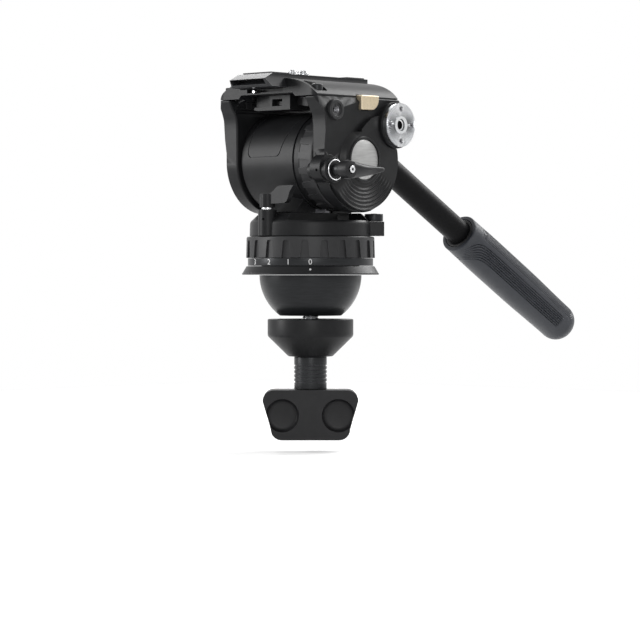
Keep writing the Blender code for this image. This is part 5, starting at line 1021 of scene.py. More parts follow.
for side, sign in (("left", -1), ("right", 1)):
    cover = cover_disc(side + "_cover_moulded", sign)
    low, high = side_span(sign, 0.0400, 0.0700)
    tools = [block("crop", (-0.06, 0.06), (0.1160, 0.1500), low, high, "YZ"),
             bar(BOSS_RADIUS + 0.0004, low, high, "X", ROSETTE_AT, steps=72)]
    if sign > 0:
        upper_left = [(-0.0026, 0.1030), (-0.0500, 0.1030), (-0.0500, 0.1180), (0.0230, 0.1180),
                      (0.0205, 0.1156), (0.0141, 0.1149), (0.0076, 0.1130), (0.0020, 0.1090), (-0.0026, 0.1048)]
        tools.append(extruded("upper_left", upper_left, low, high, "YZ"))
    cut(cover, *tools)
    shaded(cover.data)
    fit(cover, cover_black, "tilt", side + "_cover")
    disc = turned(side + "_badge_disc", [
        (0, COVER_FACE + 0.0005), (BADGE_RADIUS - 0.0006, COVER_FACE + 0.0005),
        (BADGE_RADIUS, COVER_FACE + 0.0002), (BADGE_RADIUS, COVER_BACK), (0, COVER_BACK),
    ], "X" if sign > 0 else "-X", DRUM_AT, steps=120)
    fit(disc, brushed_silver, "tilt", side + "_badge")


# Rosettes
# Steel discs with sixty radial teeth that hold the pan bar at any angle. Each is screwed to
# its boss by four countersunk screws round a plain hub with the clamp thread.

TEETH = 60
ROSETTE_RADIUS = 0.0159
ROSETTE_HUB = 0.0068
ROSETTE_THICK = 0.0040
TOOTH_HEIGHT = 0.0014
TOOTH_SHAPE = (0, 0.5, 1, 0.5)
ROSETTE_SCREWS = 4
SCREW_RING = 0.0117

rosette_steel = coat(
    "rosette_steel", "bright_steel", colour=(0.62, 0.63, 0.64), tone=(0.74, 0.74, 0.75),
    gloss=0.20, spread=0.05, grain=1800, depth=0.000003, metallic=1.0,
)


def darkened_hollows(look, low, high, dark):
    """Darken a finish in the hollows of the mesh: painted shade where the surface curves inwards."""
    nodes = look.node_tree.nodes
    links = look.node_tree.links
    surface = added(nodes, "NewGeometry")
    raised = added(nodes, "MapRange", From_Min=low, From_Max=high)
    links.new(surface.outputs["Pointiness"], raised.inputs["Value"])
    base_colour = nodes["Principled BSDF"].inputs["Base Color"]
    clean = base_colour.links[0].from_socket
    links.new(mixed_colour(nodes, links, raised.outputs["Result"], (*dark, 1), clean), base_colour)


# Painted shade in the valleys between the rosette's teeth.
darkened_hollows(rosette_steel, 0.45, 0.51, (0.02, 0.02, 0.021))


def toothed_rosette(name, base, outward):
    """Rosette about the X axis: teeth from the hub to the rim, deeper towards the rim."""
    build = bmesh.new()
    face = base + outward * ROSETTE_THICK
    rings = []
    for radius, height, toothed in (
        (0.0033, base, 0), (ROSETTE_RADIUS, base, 0), (ROSETTE_RADIUS, face, 1), (0.0112, face, 1),
        (ROSETTE_HUB, face, 1), (ROSETTE_HUB - 0.0002, face - outward * 0.0003, 0),
        (0.0064, face - outward * 0.0003, 0), (0.0062, face, 0), (0.0046, face, 0),
        (0.0042, face - outward * 0.0005, 0), (0.0040, face - outward * 0.0020, 0),
        (0.0033, face - outward * 0.0024, 0),
    ):
        ring = []
        share = radius / ROSETTE_RADIUS
        for index in range(TEETH * len(TOOTH_SHAPE)):
            angle = 2 * math.pi * index / (TEETH * len(TOOTH_SHAPE))
            hollow = TOOTH_SHAPE[index % len(TOOTH_SHAPE)]
            drop = toothed * TOOTH_HEIGHT * ((1 - share) * 0.5 + share * hollow)
            ring.append(build.verts.new((height - outward * drop, ROSETTE_Y + radius * math.cos(angle),
                                         ROSETTE_Z + radius * math.sin(angle))))
        rings.append(ring)
    bridged(build, rings + rings[:1])
    return built(name, build)


def screwed_rosette(name, base, outward, body, node):
    """Rosette with its countersinks and its four screws."""
    rosette = toothed_rosette(name, base, outward)
    axis = "X" if outward > 0 else "-X"
    face = base + outward * ROSETTE_THICK
    places = []
    for index in range(ROSETTE_SCREWS):
        angle = 2 * math.pi * index / ROSETTE_SCREWS
        places.append((face, ROSETTE_Y + SCREW_RING * math.cos(angle),
                       ROSETTE_Z + SCREW_RING * math.sin(angle)))
    cut(rosette, *[turned("sink", [
        (0, 0.0010), (0.0022, 0.0010), (0.0019, -0.0010), (0.0013, -0.0018), (0.0013, -0.0060), (0, -0.0060),
    ], axis, place, 24) for place in places])
    shaded(rosette.data)
    fit(rosette, rosette_steel, body, node)
    for index, place in enumerate(places):
        fit(turned(name + "_screw_" + str(index), [
            (0, -0.0018), (0.0007, -0.0018), (0.0008, -0.0012), (0.0014, -0.0010), (0.0017, -0.0013),
            (0.0013, -0.0020), (0.0013, -0.0038), (0, -0.0038),
        ], axis, place, 24), oiled_steel, body)


screwed_rosette("right_rosette_toothed", BOSS_END + 0.0003, 1, "tilt", "right_rosette")
screwed_rosette("left_rosette_toothed", -BOSS_END - 0.0003, -1, "tilt", "left_rosette")


# Accessory socket
# Threaded insert of black anodised aluminium, pressed into the right arm's front corner. It
# takes the screw of a monitor arm, and a plain ring stands proud round its hole.

SOCKET_END = 0.0542
SOCKET_THREADS = 4
SOCKET_PITCH = 0.0012

fit(turned("accessory_socket_turned", [
    (0.0073, SOCKET_END, 0.0009), (0.0073, 0.0488, 0.0004), (0.0055, 0.0488), (0.0055, 0.0470),
    (0.0032, 0.0470), (0.0032, 0.0530), (0.0040, SOCKET_END - 0.0009, 0.0003),
    (0.0046, SOCKET_END - 0.0009, 0.0002), (0.0048, SOCKET_END, 0.0004),
], "X", SOCKET_AT, steps=72), ring_black, "tilt", "accessory_socket")
for row in range(SOCKET_THREADS):
    crest = 0.0522 - row * SOCKET_PITCH
    fit(turned("socket_thread_" + str(row), [
        (0.0032, crest + 0.0004), (0.00285, crest), (0.0032, crest - 0.0004),
    ], "X", SOCKET_AT, steps=40), oiled_steel, "tilt")


# Platform
# Top casting that closes the yoke. The channel of the camera plate runs between its rounded
# shoulders, with a slot and a stop pin at the front and a finger pocket on the right.

PLATFORM_LOW = 0.1280
PLATFORM_WAIST = 0.1310
PLATFORM_HIGH = 0.1413
PLATFORM_FLOOR = 0.1344
PLATFORM_UNDER = 0.1305
PLATFORM_FRONT = -0.0460
PLATE_HALF = 0.0175
PLATE_LOW_HALF = 0.0205
JAW_OUTSIDE = 0.0265
BUTTON_X = 0.0420
BUTTON_Y = -0.0375
LEVER_X = -0.0580
LEVER_Y = -0.0220
LEVER_AT = (LEVER_X, LEVER_Y, 0)
STOP_PIN_AT = (-0.0104, 0, 0.1326)
PLATFORM_EDGE = ARM_OUT - BAND_TOP_IN + 0.0004
FINGER_FLOOR = 0.1315
SHOULDER_POINTS = 18
SHOULDER_PULL = Vector((0.0395, 0.1398))


def platform_section():
    """Front outline: shoulders as flat curves, the channel and the arched underside."""
    inner = Vector((PLATE_HALF + 0.0003, PLATFORM_HIGH))
    outer = Vector((PLATFORM_EDGE, PLATFORM_WAIST - 0.0019))
    shoulder = []
    for index in range(SHOULDER_POINTS + 1):
        share = index / SHOULDER_POINTS
        place = outer * (1 - share) ** 2 + SHOULDER_PULL * 2 * share * (1 - share) + inner * share ** 2
        shoulder.append(tuple(place))
    left = [(-across, up) for across, up in reversed(shoulder) if across > JAW_OUTSIDE]
    outline = [(0.0285, PLATFORM_LOW), (PLATFORM_EDGE, PLATFORM_LOW)] + shoulder
    outline += [(PLATE_LOW_HALF + 0.0003, PLATFORM_FLOOR), (-JAW_OUTSIDE - 0.0003, PLATFORM_FLOOR),
                (-JAW_OUTSIDE - 0.0003, left[0][1])]
    return outline + left + [(-PLATFORM_EDGE, PLATFORM_LOW), (-0.0285, PLATFORM_LOW),
                             (-0.0260, PLATFORM_UNDER), (0.0260, PLATFORM_UNDER)]


platform = extruded("platform_cast", platform_section(), PLATFORM_FRONT, PLATFORM_REAR, "XZ")
cut(platform, *[plan_corner_tool(side, along, PLATFORM_LOW - 0.002, PLATFORM_HIGH + 0.002)
                for side in (-1, 1) for along in (-1, 1)])
pocket_outline = arc((0.0440, -0.0370), 0.0060, -90, 90, 14)
pocket_outline += [(0.0400, -0.0310), (0.0310, -0.0390), (0.0330, -0.0430)]
finger_pocket = extruded("finger_pocket", pocket_outline, FINGER_FLOOR, 0.1500, "XY")
seam_front = [(0.0100, -0.0335), (0.0480, -0.0335), (0.0540, -0.0345), (0.0540, -0.0340), (0.0480, -0.0330),
              (0.0100, -0.0330)]
cut(platform, finger_pocket, extruded("front_seam", seam_front, 0.1310, 0.1500, "XY"),
    extruded("tab_top_pocket", tab_outline(TAB_GAP), TAB_POCKET_FLOOR, 0.0700, "YZ"))
lug = arc((LEVER_X, LEVER_Y), 0.0060, 90, 270, 20)
lug += [(-0.0500, LEVER_Y - 0.0060), (-0.0500, LEVER_Y + 0.0060)]
cut(platform, extruded("lever_lug", lug, PLATFORM_LOW, PLATFORM_WAIST, "XY"), operation="UNION")
cut(platform, bar(0.0028, 0.1200, 0.1400, at=LEVER_AT),
    bar(0.0016, -0.0500, -0.0397, "Y", STOP_PIN_AT, steps=24),
    block("stop_channel", (-0.0200, 0.0165), (0.1318, 0.1350), -0.0480, -0.0420, "XZ"))
softened(platform, 0.0006, segments=3, angle=34)
fit(platform, cast_black, "tilt", "platform")

stop_pin = bar(0.0013, -0.0490, -0.0400, "Y", STOP_PIN_AT, steps=24, corner=0.0003, name="stop_pin_turned")
fit(stop_pin, plated_steel, "tilt", "stop_pin")

button = turned("safety_button_turned", [
    (0, 0.1362), (0.0030, 0.1364), (0.0042, 0.1360, 0.0005), (0.0042, 0.1320), (0, 0.1320),
], at=(BUTTON_X, BUTTON_Y, 0), steps=48)
fit(button, anodised_black, "tilt", "safety_button")

rear_stop = extruded("plate_rear_stop", [
    (0.0120, 0.0412), (0.0330, 0.0412), (0.0330, 0.0445), (0.0310, 0.0462), (0.0120, 0.0462),
], 0.1330, 0.1372, "XY")
softened(rear_stop, 0.0006, segments=3)
fit(rear_stop, moulded_black, "tilt")


# Latch box
# Casing of the plate latch, screwed under the platform over the drum. Its latch shows dark
# in the window, and a bracket and a tab of the release link stand beside it.

latch = extruded("latch_box_cast", [(-0.0255, 0.1202), (-0.0215, 0.1195), (0.0110, 0.1195), (0.0110, 0.1302),
                                    (-0.0255, 0.1302)], -0.0330, -0.0120, "XZ")
cut(latch, block("front_step", (-0.0340, -0.0306), (0.1222, 0.1310), -0.0300, -0.0095, "YZ"),
    block("latch_window", (-0.0070, 0.0030), (0.1225, 0.1275), -0.0360, -0.0250, "XZ"))
fit(softened(latch, 0.0004), cast_black, "tilt", "latch_box")
catch = block("latch_catch", (-0.0066, 0.0012), (0.1228, 0.1262), -0.0290, -0.0255, "XZ")
fit(softened(catch, 0.0004), moulded_black, "tilt")
link_tab = extruded("release_link_tab", [
    (0.0116, 0.1232), (0.0225, 0.1215), (0.0225, 0.1270), (0.0160, 0.1300), (0.0116, 0.1300),
], -0.0260, -0.0235, "XZ")
fit(softened(link_tab, 0.0004), moulded_black, "tilt")
bracket = extruded("latch_bracket", [
    (-0.0345, 0.1215), (-0.0330, 0.1215), (-0.0330, 0.1282), (-0.0262, 0.1282), (-0.0262, 0.1297),
    (-0.0345, 0.1297),
], -0.0330, -0.0280, "XZ")
fit(softened(bracket, 0.0003), moulded_black, "tilt")


# Movable jaw and camera plate
# Anodised aluminium. The plate slides in the dovetail channel and is clamped by the jaw at
# its left. Its nose is a wedge, and rubber pads keep the camera from turning.

PLATE_TOP = 0.1445
PLATE_BOTTOM = 0.1347
PLATE_WAIST = 0.1410
PLATE_FRONT = -0.0660
PLATE_REAR = 0.0430
NOSE_EDGE = 0.1402
NOSE_LENGTH = 0.0085
PAD_HALF = 0.0140
PAD_LENGTH = 0.0190
PAD_RIBS = 9
SMALL_SCREW_Y = -0.0190
SMALL_SCREW_RADIUS = 0.00317
SMALL_HEAD_RADIUS = 0.0045
LARGE_SCREW_Y = -0.0080
LARGE_SCREW_RADIUS = 0.00475
LARGE_HEAD_RADIUS = 0.0056

plate_black = coat(
    "plate_black", "black_anodised", colour=(0.018, 0.0185, 0.020), tone=(0.024, 0.025, 0.027),
    gloss=0.38, spread=0.05, grain=2200, depth=0.000006, edge_highlight=(0.12, 0.12, 0.13), specular=0.12,
)
rubber_black = coat(
    "rubber_black", "black_rubber", colour=(0.020, 0.020, 0.022), tone=(0.027, 0.027, 0.030),
    gloss=0.74, spread=0.08, grain=1600, depth=0.00003,
)

jaw = extruded("movable_jaw_milled", [
    (-0.0250, PLATE_BOTTOM), (-PLATE_LOW_HALF - 0.0003, PLATE_BOTTOM), (-PLATE_HALF - 0.0003, PLATE_WAIST),
    (-0.0250, PLATE_WAIST),
], -0.0300, 0.0280, "XZ")
fit(softened(jaw, 0.0004), anodised_black, "jaw", "movable_jaw")

plate = extruded("camera_plate_milled", [
    (PLATE_FRONT, NOSE_EDGE), (PLATE_FRONT + 0.0050, PLATE_BOTTOM), (PLATE_REAR, PLATE_BOTTOM),
    (PLATE_REAR, PLATE_TOP), (PLATE_FRONT + NOSE_LENGTH, PLATE_TOP),
], -PLATE_LOW_HALF, PLATE_LOW_HALF, "YZ")
tools = []
for side in (-1, 1):
    tools.append(extruded("dovetail", [
        (side * PLATE_LOW_HALF, PLATE_BOTTOM), (side * PLATE_HALF, PLATE_WAIST),
        (side * PLATE_HALF, PLATE_TOP + 0.002), (side * 2 * PLATE_LOW_HALF, PLATE_TOP + 0.002),
        (side * 2 * PLATE_LOW_HALF, PLATE_BOTTOM - 0.002),
        (side * (PLATE_LOW_HALF + 0.0009), PLATE_BOTTOM - 0.002),
    ], PLATE_FRONT - 0.002, PLATE_REAR + 0.002, "XZ"))
tools.append(extruded("nose_slot", [
    (-0.0600, 0.1364), (-0.0700, 0.1364), (-0.0700, 0.1400), (-0.0560, 0.1400),
], -0.0178, 0.0155, "YZ"))
cut(plate, *tools)
tools = []
for along, radius, head in ((SMALL_SCREW_Y, SMALL_SCREW_RADIUS, SMALL_HEAD_RADIUS),
                            (LARGE_SCREW_Y, LARGE_SCREW_RADIUS, LARGE_HEAD_RADIUS)):
    tools.append(turned("screw_well", [
        (0, 0.1470), (radius + 0.0003, 0.1470), (radius + 0.0003, 0.1381), (head + 0.0003, 0.1381),
        (head + 0.0003, 0.1327), (0, 0.1327),
    ], at=(0, along, 0), steps=48))
for side in (-1, 1):
    tools.append(block("side_line", (side * 0.0142, side * 0.0146), (0.1442, 0.1500), PLATE_FRONT - 0.01,
                       PLATE_REAR + 0.01, "XZ"))
cut(plate, *tools)
softened(plate, 0.0005, segments=3, angle=28)
fit(plate, plate_black, "plate", "camera_plate")


def ribbed_pad(name, start):
    """Rubber pad with fine ribs across, on the plate's top."""
    side = [(start, PLATE_TOP + 0.0003)]
    pitch = PAD_LENGTH / PAD_RIBS
    for rib in range(PAD_RIBS):
        at = start + pitch * rib
        side += [(at, PLATE_TOP + 0.0008), (at + pitch * 0.12, PLATE_TOP + 0.0011),
                 (at + pitch * 0.78, PLATE_TOP + 0.0011), (at + pitch * 0.90, PLATE_TOP + 0.0008)]
    side += [(start + PAD_LENGTH, PLATE_TOP + 0.0008), (start + PAD_LENGTH, PLATE_TOP + 0.0003)]
    return extruded(name, side, -PAD_HALF, PAD_HALF, "YZ")


fit(ribbed_pad("front_pad_ribbed", PLATE_FRONT + NOSE_LENGTH + 0.0015), rubber_black, "plate", "front_pad")
fit(ribbed_pad("rear_pad_ribbed", PLATE_REAR - PAD_LENGTH), rubber_black, "plate", "rear_pad")


# Camera screws
# Zinc plated steel screws for the small and the large camera thread. Their flat heads hold
# them in wells under the plate.

for name, body, along, radius, head, depth, pitch in (
    ("quarter_screw", "small_screw", SMALL_SCREW_Y, SMALL_SCREW_RADIUS, SMALL_HEAD_RADIUS, 0.00075, 0.00127),
    ("eighths_screw", "large_screw", LARGE_SCREW_Y, LARGE_SCREW_RADIUS, LARGE_HEAD_RADIUS, 0.00090, 0.00159),
):
    thread = threaded(name + "_threaded", radius, depth, pitch, 0.1378, PLATE_TOP + 0.0048, (0, along, 0))
    fit(thread, plated_steel, body, name)
    fit(turned(name + "_head", [(0, 0.1378), (head, 0.1378, 0.0005), (head, 0.1350, 0.0004), (0, 0.1350)],
               at=(0, along, 0), steps=48), plated_steel, body)


# Release tab
# Champagne coloured anodised aluminium tab in the right side, proud of the casting. It is
# pressed in to free the plate. Its spring is hidden and not modelled.

champagne = coat(
    "champagne", "gold_anodised", colour=(0.60, 0.50, 0.345), tone=(0.66, 0.56, 0.40),
    gloss=0.30, spread=0.05, grain=2400, depth=0.000004, metallic=0.55, edge_highlight=(0.93, 0.89, 0.80),
)
tab = extruded("release_tab_anodised", tab_outline(0), 0.0480, 0.0540, "YZ")
fit(softened(tab, 0.0008, segments=3, angle=24), champagne, "release", "release_tab")


# Plate lock lever
# Cast lever at the left side that turns on a steel pin in the platform's lug and drives the
# movable jaw.

lever_blade = [(LEVER_X + 0.0040, LEVER_Y)] + arc((LEVER_X - 0.0008, LEVER_Y + 0.0248), 0.0028, 20, 180, 12)
lever_blade += [(LEVER_X - 0.0050, LEVER_Y + 0.0030), (LEVER_X - 0.0040, LEVER_Y - 0.0010)]
side_lever = extruded("plate_lock_lever_cast", lever_blade, 0.1316, 0.1363, "XY")
cut(side_lever, bar(0.0058, 0.1313, 0.1385, at=LEVER_AT, steps=56, corner=0.0007), operation="UNION")
cut(side_lever, bar(0.0028, 0.1300, 0.1400, at=LEVER_AT))
fit(softened(side_lever, 0.0007, segments=3, angle=30), cast_black, "plate_lock", "plate_lock_lever")
fit(turned("plate_lock_pin_turned", [
    (0, 0.1384), (0.0012, 0.1386), (0.0025, 0.1388, 0.0004), (0.0025, 0.1280, 0.0003), (0, 0.1280),
], at=LEVER_AT, steps=40), plated_steel, "tilt", "plate_lock_pin")


# Tilt lock
# Steel screw in the right arm's clamping eye, with a bright washer, a black sleeve and a
# twisted cast lever held by a socket screw. It grips the spindle's brake.

LOCK_HUB_START = 0.0680
LOCK_HUB_END = 0.0770
LOCK_REACH = 0.0378
BLADE_STATIONS = 26
BLADE_STEPS = 20
BLADE_TWIST = math.radians(38)
BLADE_SQUARENESS = 0.7
BLADE_TIP_FROM = 0.97
BLADE_TIP_SHARE = 0.55

fit(turned("tilt_lock_washer_turned", [
    (0.0033, 0.0610), (0.0066, 0.0610), (0.0069, 0.0617, 0.0002), (0.0075, 0.0615, 0.0002),
    (0.0075, 0.0603, 0.0002), (0.0033, 0.0603),
], "X", LOCK_AXIS, steps=64), plated_steel, "tilt", "tilt_lock_washer")
# Black disc over the washer's inner face: painted shade in its cup, so that only the rim shows bright.
fit(turned("tilt_lock_washer_shade_disc", [
    (0.0033, 0.0613), (0.0065, 0.0613, 0.0001), (0.0065, 0.0608), (0.0033, 0.0608),
], "X", LOCK_AXIS, steps=64), moulded_black, "tilt")
fit(turned("tilt_lock_shaft_turned", [
    (0, 0.0677), (0.0047, 0.0677, 0.0003), (0.0047, 0.0620, 0.0004), (0.0030, 0.0620), (0.0030, 0.0400),
    (0, 0.0400),
], "X", LOCK_AXIS, steps=48), anodised_black, "tilt_lock", "tilt_lock_shaft")


def twisted_blade():
    """Lever blade lofted from oval sections that turn and thin out towards the tip."""
    build = bmesh.new()
    rings = []
    for station in range(BLADE_STATIONS + 1):
        share = station / BLADE_STATIONS
        along = LOCK_REACH * share
        tall = 0.0056 * (1 - share) ** 0.9 + 0.0012
        thick = 0.0040 * (1 - share) ** 1.2 + 0.0009
        turn = BLADE_TWIST * math.sin(math.pi * min(1, share * 1.1)) ** 1.2
        if share > BLADE_TIP_FROM:
            tall *= BLADE_TIP_SHARE
            thick *= BLADE_TIP_SHARE
        middle_x = LOCK_HUB_START + 0.0045 + 0.0010 * share
        middle_z = LOCK_AXIS_Z - 0.0008 * math.sin(math.pi * share) + 0.0009 * share
        ring = []
        for step in range(BLADE_STEPS):
            angle = 2 * math.pi * step / BLADE_STEPS
            across = thick * math.copysign(abs(math.cos(angle)) ** BLADE_SQUARENESS, math.cos(angle))
            up = tall * math.copysign(abs(math.sin(angle)) ** BLADE_SQUARENESS, math.sin(angle))
            ring.append(build.verts.new((
                middle_x + across * math.cos(turn) + up * math.sin(turn), LOCK_AXIS_Y + along,
                middle_z - across * math.sin(turn) + up * math.cos(turn),
            )))
        rings.append(ring)
    bridged(build, rings)
    build.faces.new(rings[0])
    build.faces.new(list(reversed(rings[-1])))
    return built("tilt_lock_blade", build)


hub = turned("tilt_lock_lever_cast", [
    (0, LOCK_HUB_END - 0.0006), (0.0030, LOCK_HUB_END - 0.0006), (0.0034, LOCK_HUB_END),
    (0.0062, LOCK_HUB_END, 0.0009), (0.0062, LOCK_HUB_START, 0.0008), (0, LOCK_HUB_START),
], "X", LOCK_AXIS, steps=64)
cut(hub, twisted_blade(), operation="UNION")
shaded(hub.data)
fit(hub, moulded_black, "tilt_lock", "tilt_lock_lever")

socket_screw = turned("tilt_lock_screw_turned", [
    (0, LOCK_HUB_END + 0.0010), (0.0026, LOCK_HUB_END + 0.0010, 0.0004), (0.0026, LOCK_HUB_END - 0.0003),
    (0, LOCK_HUB_END - 0.0003),
], "X", LOCK_AXIS, steps=40)
hexagon = arc((LOCK_AXIS_Y, LOCK_AXIS_Z), 0.0012, 0, 300, 5)
cut(socket_screw, extruded("hexagon", hexagon, LOCK_HUB_END, LOCK_HUB_END + 0.0030, "YZ"))
fit(softened(socket_screw, 0.00012), plated_steel, "tilt_lock", "tilt_lock_screw")


# Pan bar clamp and knob
# Cast clamp with a toothed steel rosette. A lobed knob on a steel stud presses its teeth
# into those of the left rosette, and a set screw holds the bar in the sleeve.

BAR_DROP = math.radians(18.0)
BAR_X = -0.0790
ACROSS = Vector((1, 0, 0))
BAR_UP = Vector((0, math.sin(BAR_DROP), math.cos(BAR_DROP)))
BAR_ALONG = Vector((0, math.cos(BAR_DROP), -math.sin(BAR_DROP)))
BAR_ABOVE_ROSETTE = 0.0277
BAR_FOOT = Vector((BAR_X, ROSETTE_Y, ROSETTE_Z)) + BAR_ABOVE_ROSETTE * BAR_UP
BAR_RADIUS = 0.0102
BAR_START = -0.0140
CLAMP_IN = -0.0649
CLAMP_OUT = -0.0890
SLEEVE_RADIUS = 0.0140
SLEEVE_HALF = 0.0170
WEB_HALF = 0.0083
KNOB_RADIUS = 0.0135
KNOB_START = -0.0893
KNOB_END = -0.1093
KNOB_SCOOPS = 5
SCOOP_FROM_AXIS = 0.0165

screwed_rosette("handle_rosette_toothed", CLAMP_IN + 0.0003, 1, "handle", "handle_rosette")

at_foot = Matrix.Translation(BAR_FOOT) @ Matrix.Rotation(-math.pi / 2 - BAR_DROP, 4, "X")
at_rosette = Matrix.Translation(ROSETTE_AT) @ Matrix.Rotation(-BAR_DROP, 4, "X")
clamp = turned("handle_clamp_cast", [
    (0, CLAMP_IN), (0.0155, CLAMP_IN, 0.0005), (0.0155, CLAMP_OUT, 0.0012), (0, CLAMP_OUT),
], "X", ROSETTE_AT, steps=96)
sleeve = turned("clamp_sleeve", [
    (0, SLEEVE_HALF), (SLEEVE_RADIUS, SLEEVE_HALF, 0.0009), (SLEEVE_RADIUS, -SLEEVE_HALF, 0.0009),
    (0, -SLEEVE_HALF),
], steps=96, place=at_foot)
web = extruded("clamp_web", [
    (-0.0118, BAR_ABOVE_ROSETTE), (-0.0112, 0.0100), (-0.0085, 0.0040), (0.0085, 0.0040), (0.0112, 0.0100),
    (0.0118, BAR_ABOVE_ROSETTE),
], BAR_X - WEB_HALF, BAR_X + WEB_HALF, "YZ")
web.data.transform(at_rosette)
cut(clamp, web, sleeve, operation="UNION")
sleeve_bore = turned("sleeve_bore", [
    (0, 0.0180), (0.0116, 0.0180), (BAR_RADIUS + 0.0003, 0.0162), (BAR_RADIUS + 0.0003, BAR_START - 0.0003),
    (0, BAR_START - 0.0003),
], steps=72, place=at_foot)
set_screw_at = (0, BAR_FOOT.y, BAR_FOOT.z)
cut(clamp, sleeve_bore, bar(0.0024, -0.0950, -0.0850, "X", set_screw_at, steps=32),
    bar(0.0032, CLAMP_OUT - 0.002, CLAMP_IN + 0.002, "X", ROSETTE_AT, steps=36))
softened(clamp, 0.0007, segments=3, angle=34)
fit(clamp, cast_black, "handle", "handle_clamp")
fit(turned("bar_set_screw", [
    (0, 0.0897), (0.0011, 0.0897), (0.0012, 0.0915), (0.0018, 0.0915, 0.0002), (0.0023, 0.0910, 0.0002),
    (0.0023, 0.0897),
], "-X", set_screw_at, steps=36), oiled_steel, "handle")

knob = turned("handle_knob_moulded", [
    (0, KNOB_START), (0.0085, KNOB_START, 0.0005), (0.0085, KNOB_START - 0.0020, 0.0006),
    (KNOB_RADIUS, KNOB_START - 0.0040, 0.0012), (KNOB_RADIUS, KNOB_END + 0.0010, 0.0018),
    (0.0098, KNOB_END, 0.0008), (0.0080, KNOB_END + 0.0010, 0.0006), (0, KNOB_END + 0.0010),
], "X", ROSETTE_AT, steps=120)
scoops = []
for index in range(KNOB_SCOOPS):
    angle = 2 * math.pi * index / KNOB_SCOOPS
    middle = (0, ROSETTE_Y - SCOOP_FROM_AXIS * math.sin(angle), ROSETTE_Z + SCOOP_FROM_AXIS * math.cos(angle))
    scoops.append(turned("scoop", [
        (0, KNOB_END - 0.001), (0.0061, KNOB_END - 0.001), (0.0060, KNOB_START - 0.0060),
        (0.0035, KNOB_START - 0.0030), (0, KNOB_START - 0.0022),
    ], "X", middle, 40))
cut(knob, *scoops)
softened(knob, 0.0006, segments=3, angle=30)
fit(knob, moulded_black, "handle_lock", "handle_knob")
fit(turned("knob_cap", [
    (0, KNOB_END + 0.0004), (0.0074, KNOB_END + 0.0004, 0.0004), (0.0074, KNOB_END + 0.0016),
    (0, KNOB_END + 0.0016),
], "X", ROSETTE_AT, steps=64), cover_black, "handle_lock")
fit(threaded("knob_stud", 0.0029, 0.0005, 0.0010, KNOB_START - 0.0010, -0.0500, ROSETTE_AT, "X"),
    plated_steel, "handle_lock")


# Pan bar tube
# Matt black anodised aluminium tube with a slight bend behind the clamp, so that the grip
# hangs lower. It is plugged at the front and glued into the grip.

BEND = math.radians(12.1)
BEND_AT = 0.1035
BEND_RADIUS = 0.1200
BEND_STATIONS = 14
TUBE_STEPS = 64
GRIP_START = 0.1383
TUBE_IN_GRIP = 0.0200
TUBE_CHAMFER = 0.0009

tube_black = coat(
    "tube_black", "black_anodised", colour=(0.0045, 0.0045, 0.0050), tone=(0.0060, 0.0060, 0.0065),
    gloss=0.40, spread=0.04, grain=2600, depth=0.000006, edge_highlight=(0.05, 0.05, 0.052), specular=0.06,
)
bend_point = BAR_FOOT + BEND_AT * BAR_ALONG
grip_along = Vector((0, math.cos(BAR_DROP + BEND), -math.sin(BAR_DROP + BEND)))
grip_up = Vector((0, math.sin(BAR_DROP + BEND), math.cos(BAR_DROP + BEND)))
bend_start = bend_point - BEND_RADIUS * math.tan(BEND / 2) * BAR_ALONG
bend_middle = bend_start - BEND_RADIUS * BAR_UP
stations = [(BAR_FOOT + BAR_START * BAR_ALONG, BAR_UP, BAR_RADIUS - TUBE_CHAMFER),
            (BAR_FOOT + (BAR_START + TUBE_CHAMFER) * BAR_ALONG, BAR_UP, BAR_RADIUS)]
for station in range(BEND_STATIONS + 1):
    turn = BEND * station / BEND_STATIONS
    outwards = math.cos(turn) * BAR_UP + math.sin(turn) * BAR_ALONG
    stations.append((bend_middle + BEND_RADIUS * outwards, outwards, BAR_RADIUS))
stations.append((bend_point + (GRIP_START + TUBE_IN_GRIP) * grip_along, grip_up, BAR_RADIUS))
build = bmesh.new()
rings = []
for middle, up, radius in stations:
    ring = []
    for step in range(TUBE_STEPS):
        angle = 2 * math.pi * step / TUBE_STEPS
        ring.append(build.verts.new(middle + radius * (math.cos(angle) * up + math.sin(angle) * ACROSS)))
    rings.append(ring)
bridged(build, rings)
build.faces.new(rings[0])
build.faces.new(list(reversed(rings[-1])))
fit(built("handle_tube_bent", build), tube_black, "handle", "handle_tube")


# Grip and its collar
# Moulded blue grey rubber on the end of the tube. Seven grooves sweep along each side and
# nested rings lie on its shoulders. A plastic collar closes the mouth.

GRIP_LENGTH = 0.1620
GRIP_RADIUS = 0.0168
GRIP_NECK = 0.0163
GRIP_END_RADIUS = 0.0158
GRIP_NOSE = 0.0140
GRIP_MOUTH = 0.0131
MOUTH_DEPTH = 0.0030
SWEEP_TOP = -7.0
SWEEP_PITCH = 5.83
SWEEP_GROOVES = 7
SWEEP_REACH = 47.0
SWEEP_DECAY = 4.6
SWEEP_FROM = 3.8
SWEEP_DELAY = 1.63
SWEEP_END = 139.0
SWEEP_END_FADE = 2.5
SWING_MOST = 75
SWING_FADED = 52
SWING_FADE = 26
SWEEP_HALF = 0.52
SWEEP_DEPTH = 0.00080
SWEEP_ROUNDNESS = 0.8
LOOP_ANGLE = 29.0
LOOP_FROM = 18.5
LOOP_TO = 144.0
LOOP_PITCH = 1.62
LOOP_HALF = 0.42
LOOP_DEPTH = 0.00050
LOOPS = 4
MOUTH_ROUND = 0.0006
MOUTH_ROUND_LENGTH = 0.8
NOSE_ROWS = 28

grip_rubber = coat(
    "grip_rubber", "black_rubber", colour=(0.017, 0.0195, 0.026), tone=(0.022, 0.025, 0.032),
    gloss=0.42, spread=0.06, grain=1900, depth=0.00002, specular=0.35,
)
# Painted shade in the grooves and rings of the grip.
darkened_hollows(grip_rubber, 0.36, 0.47, (0.001, 0.001, 0.0012))


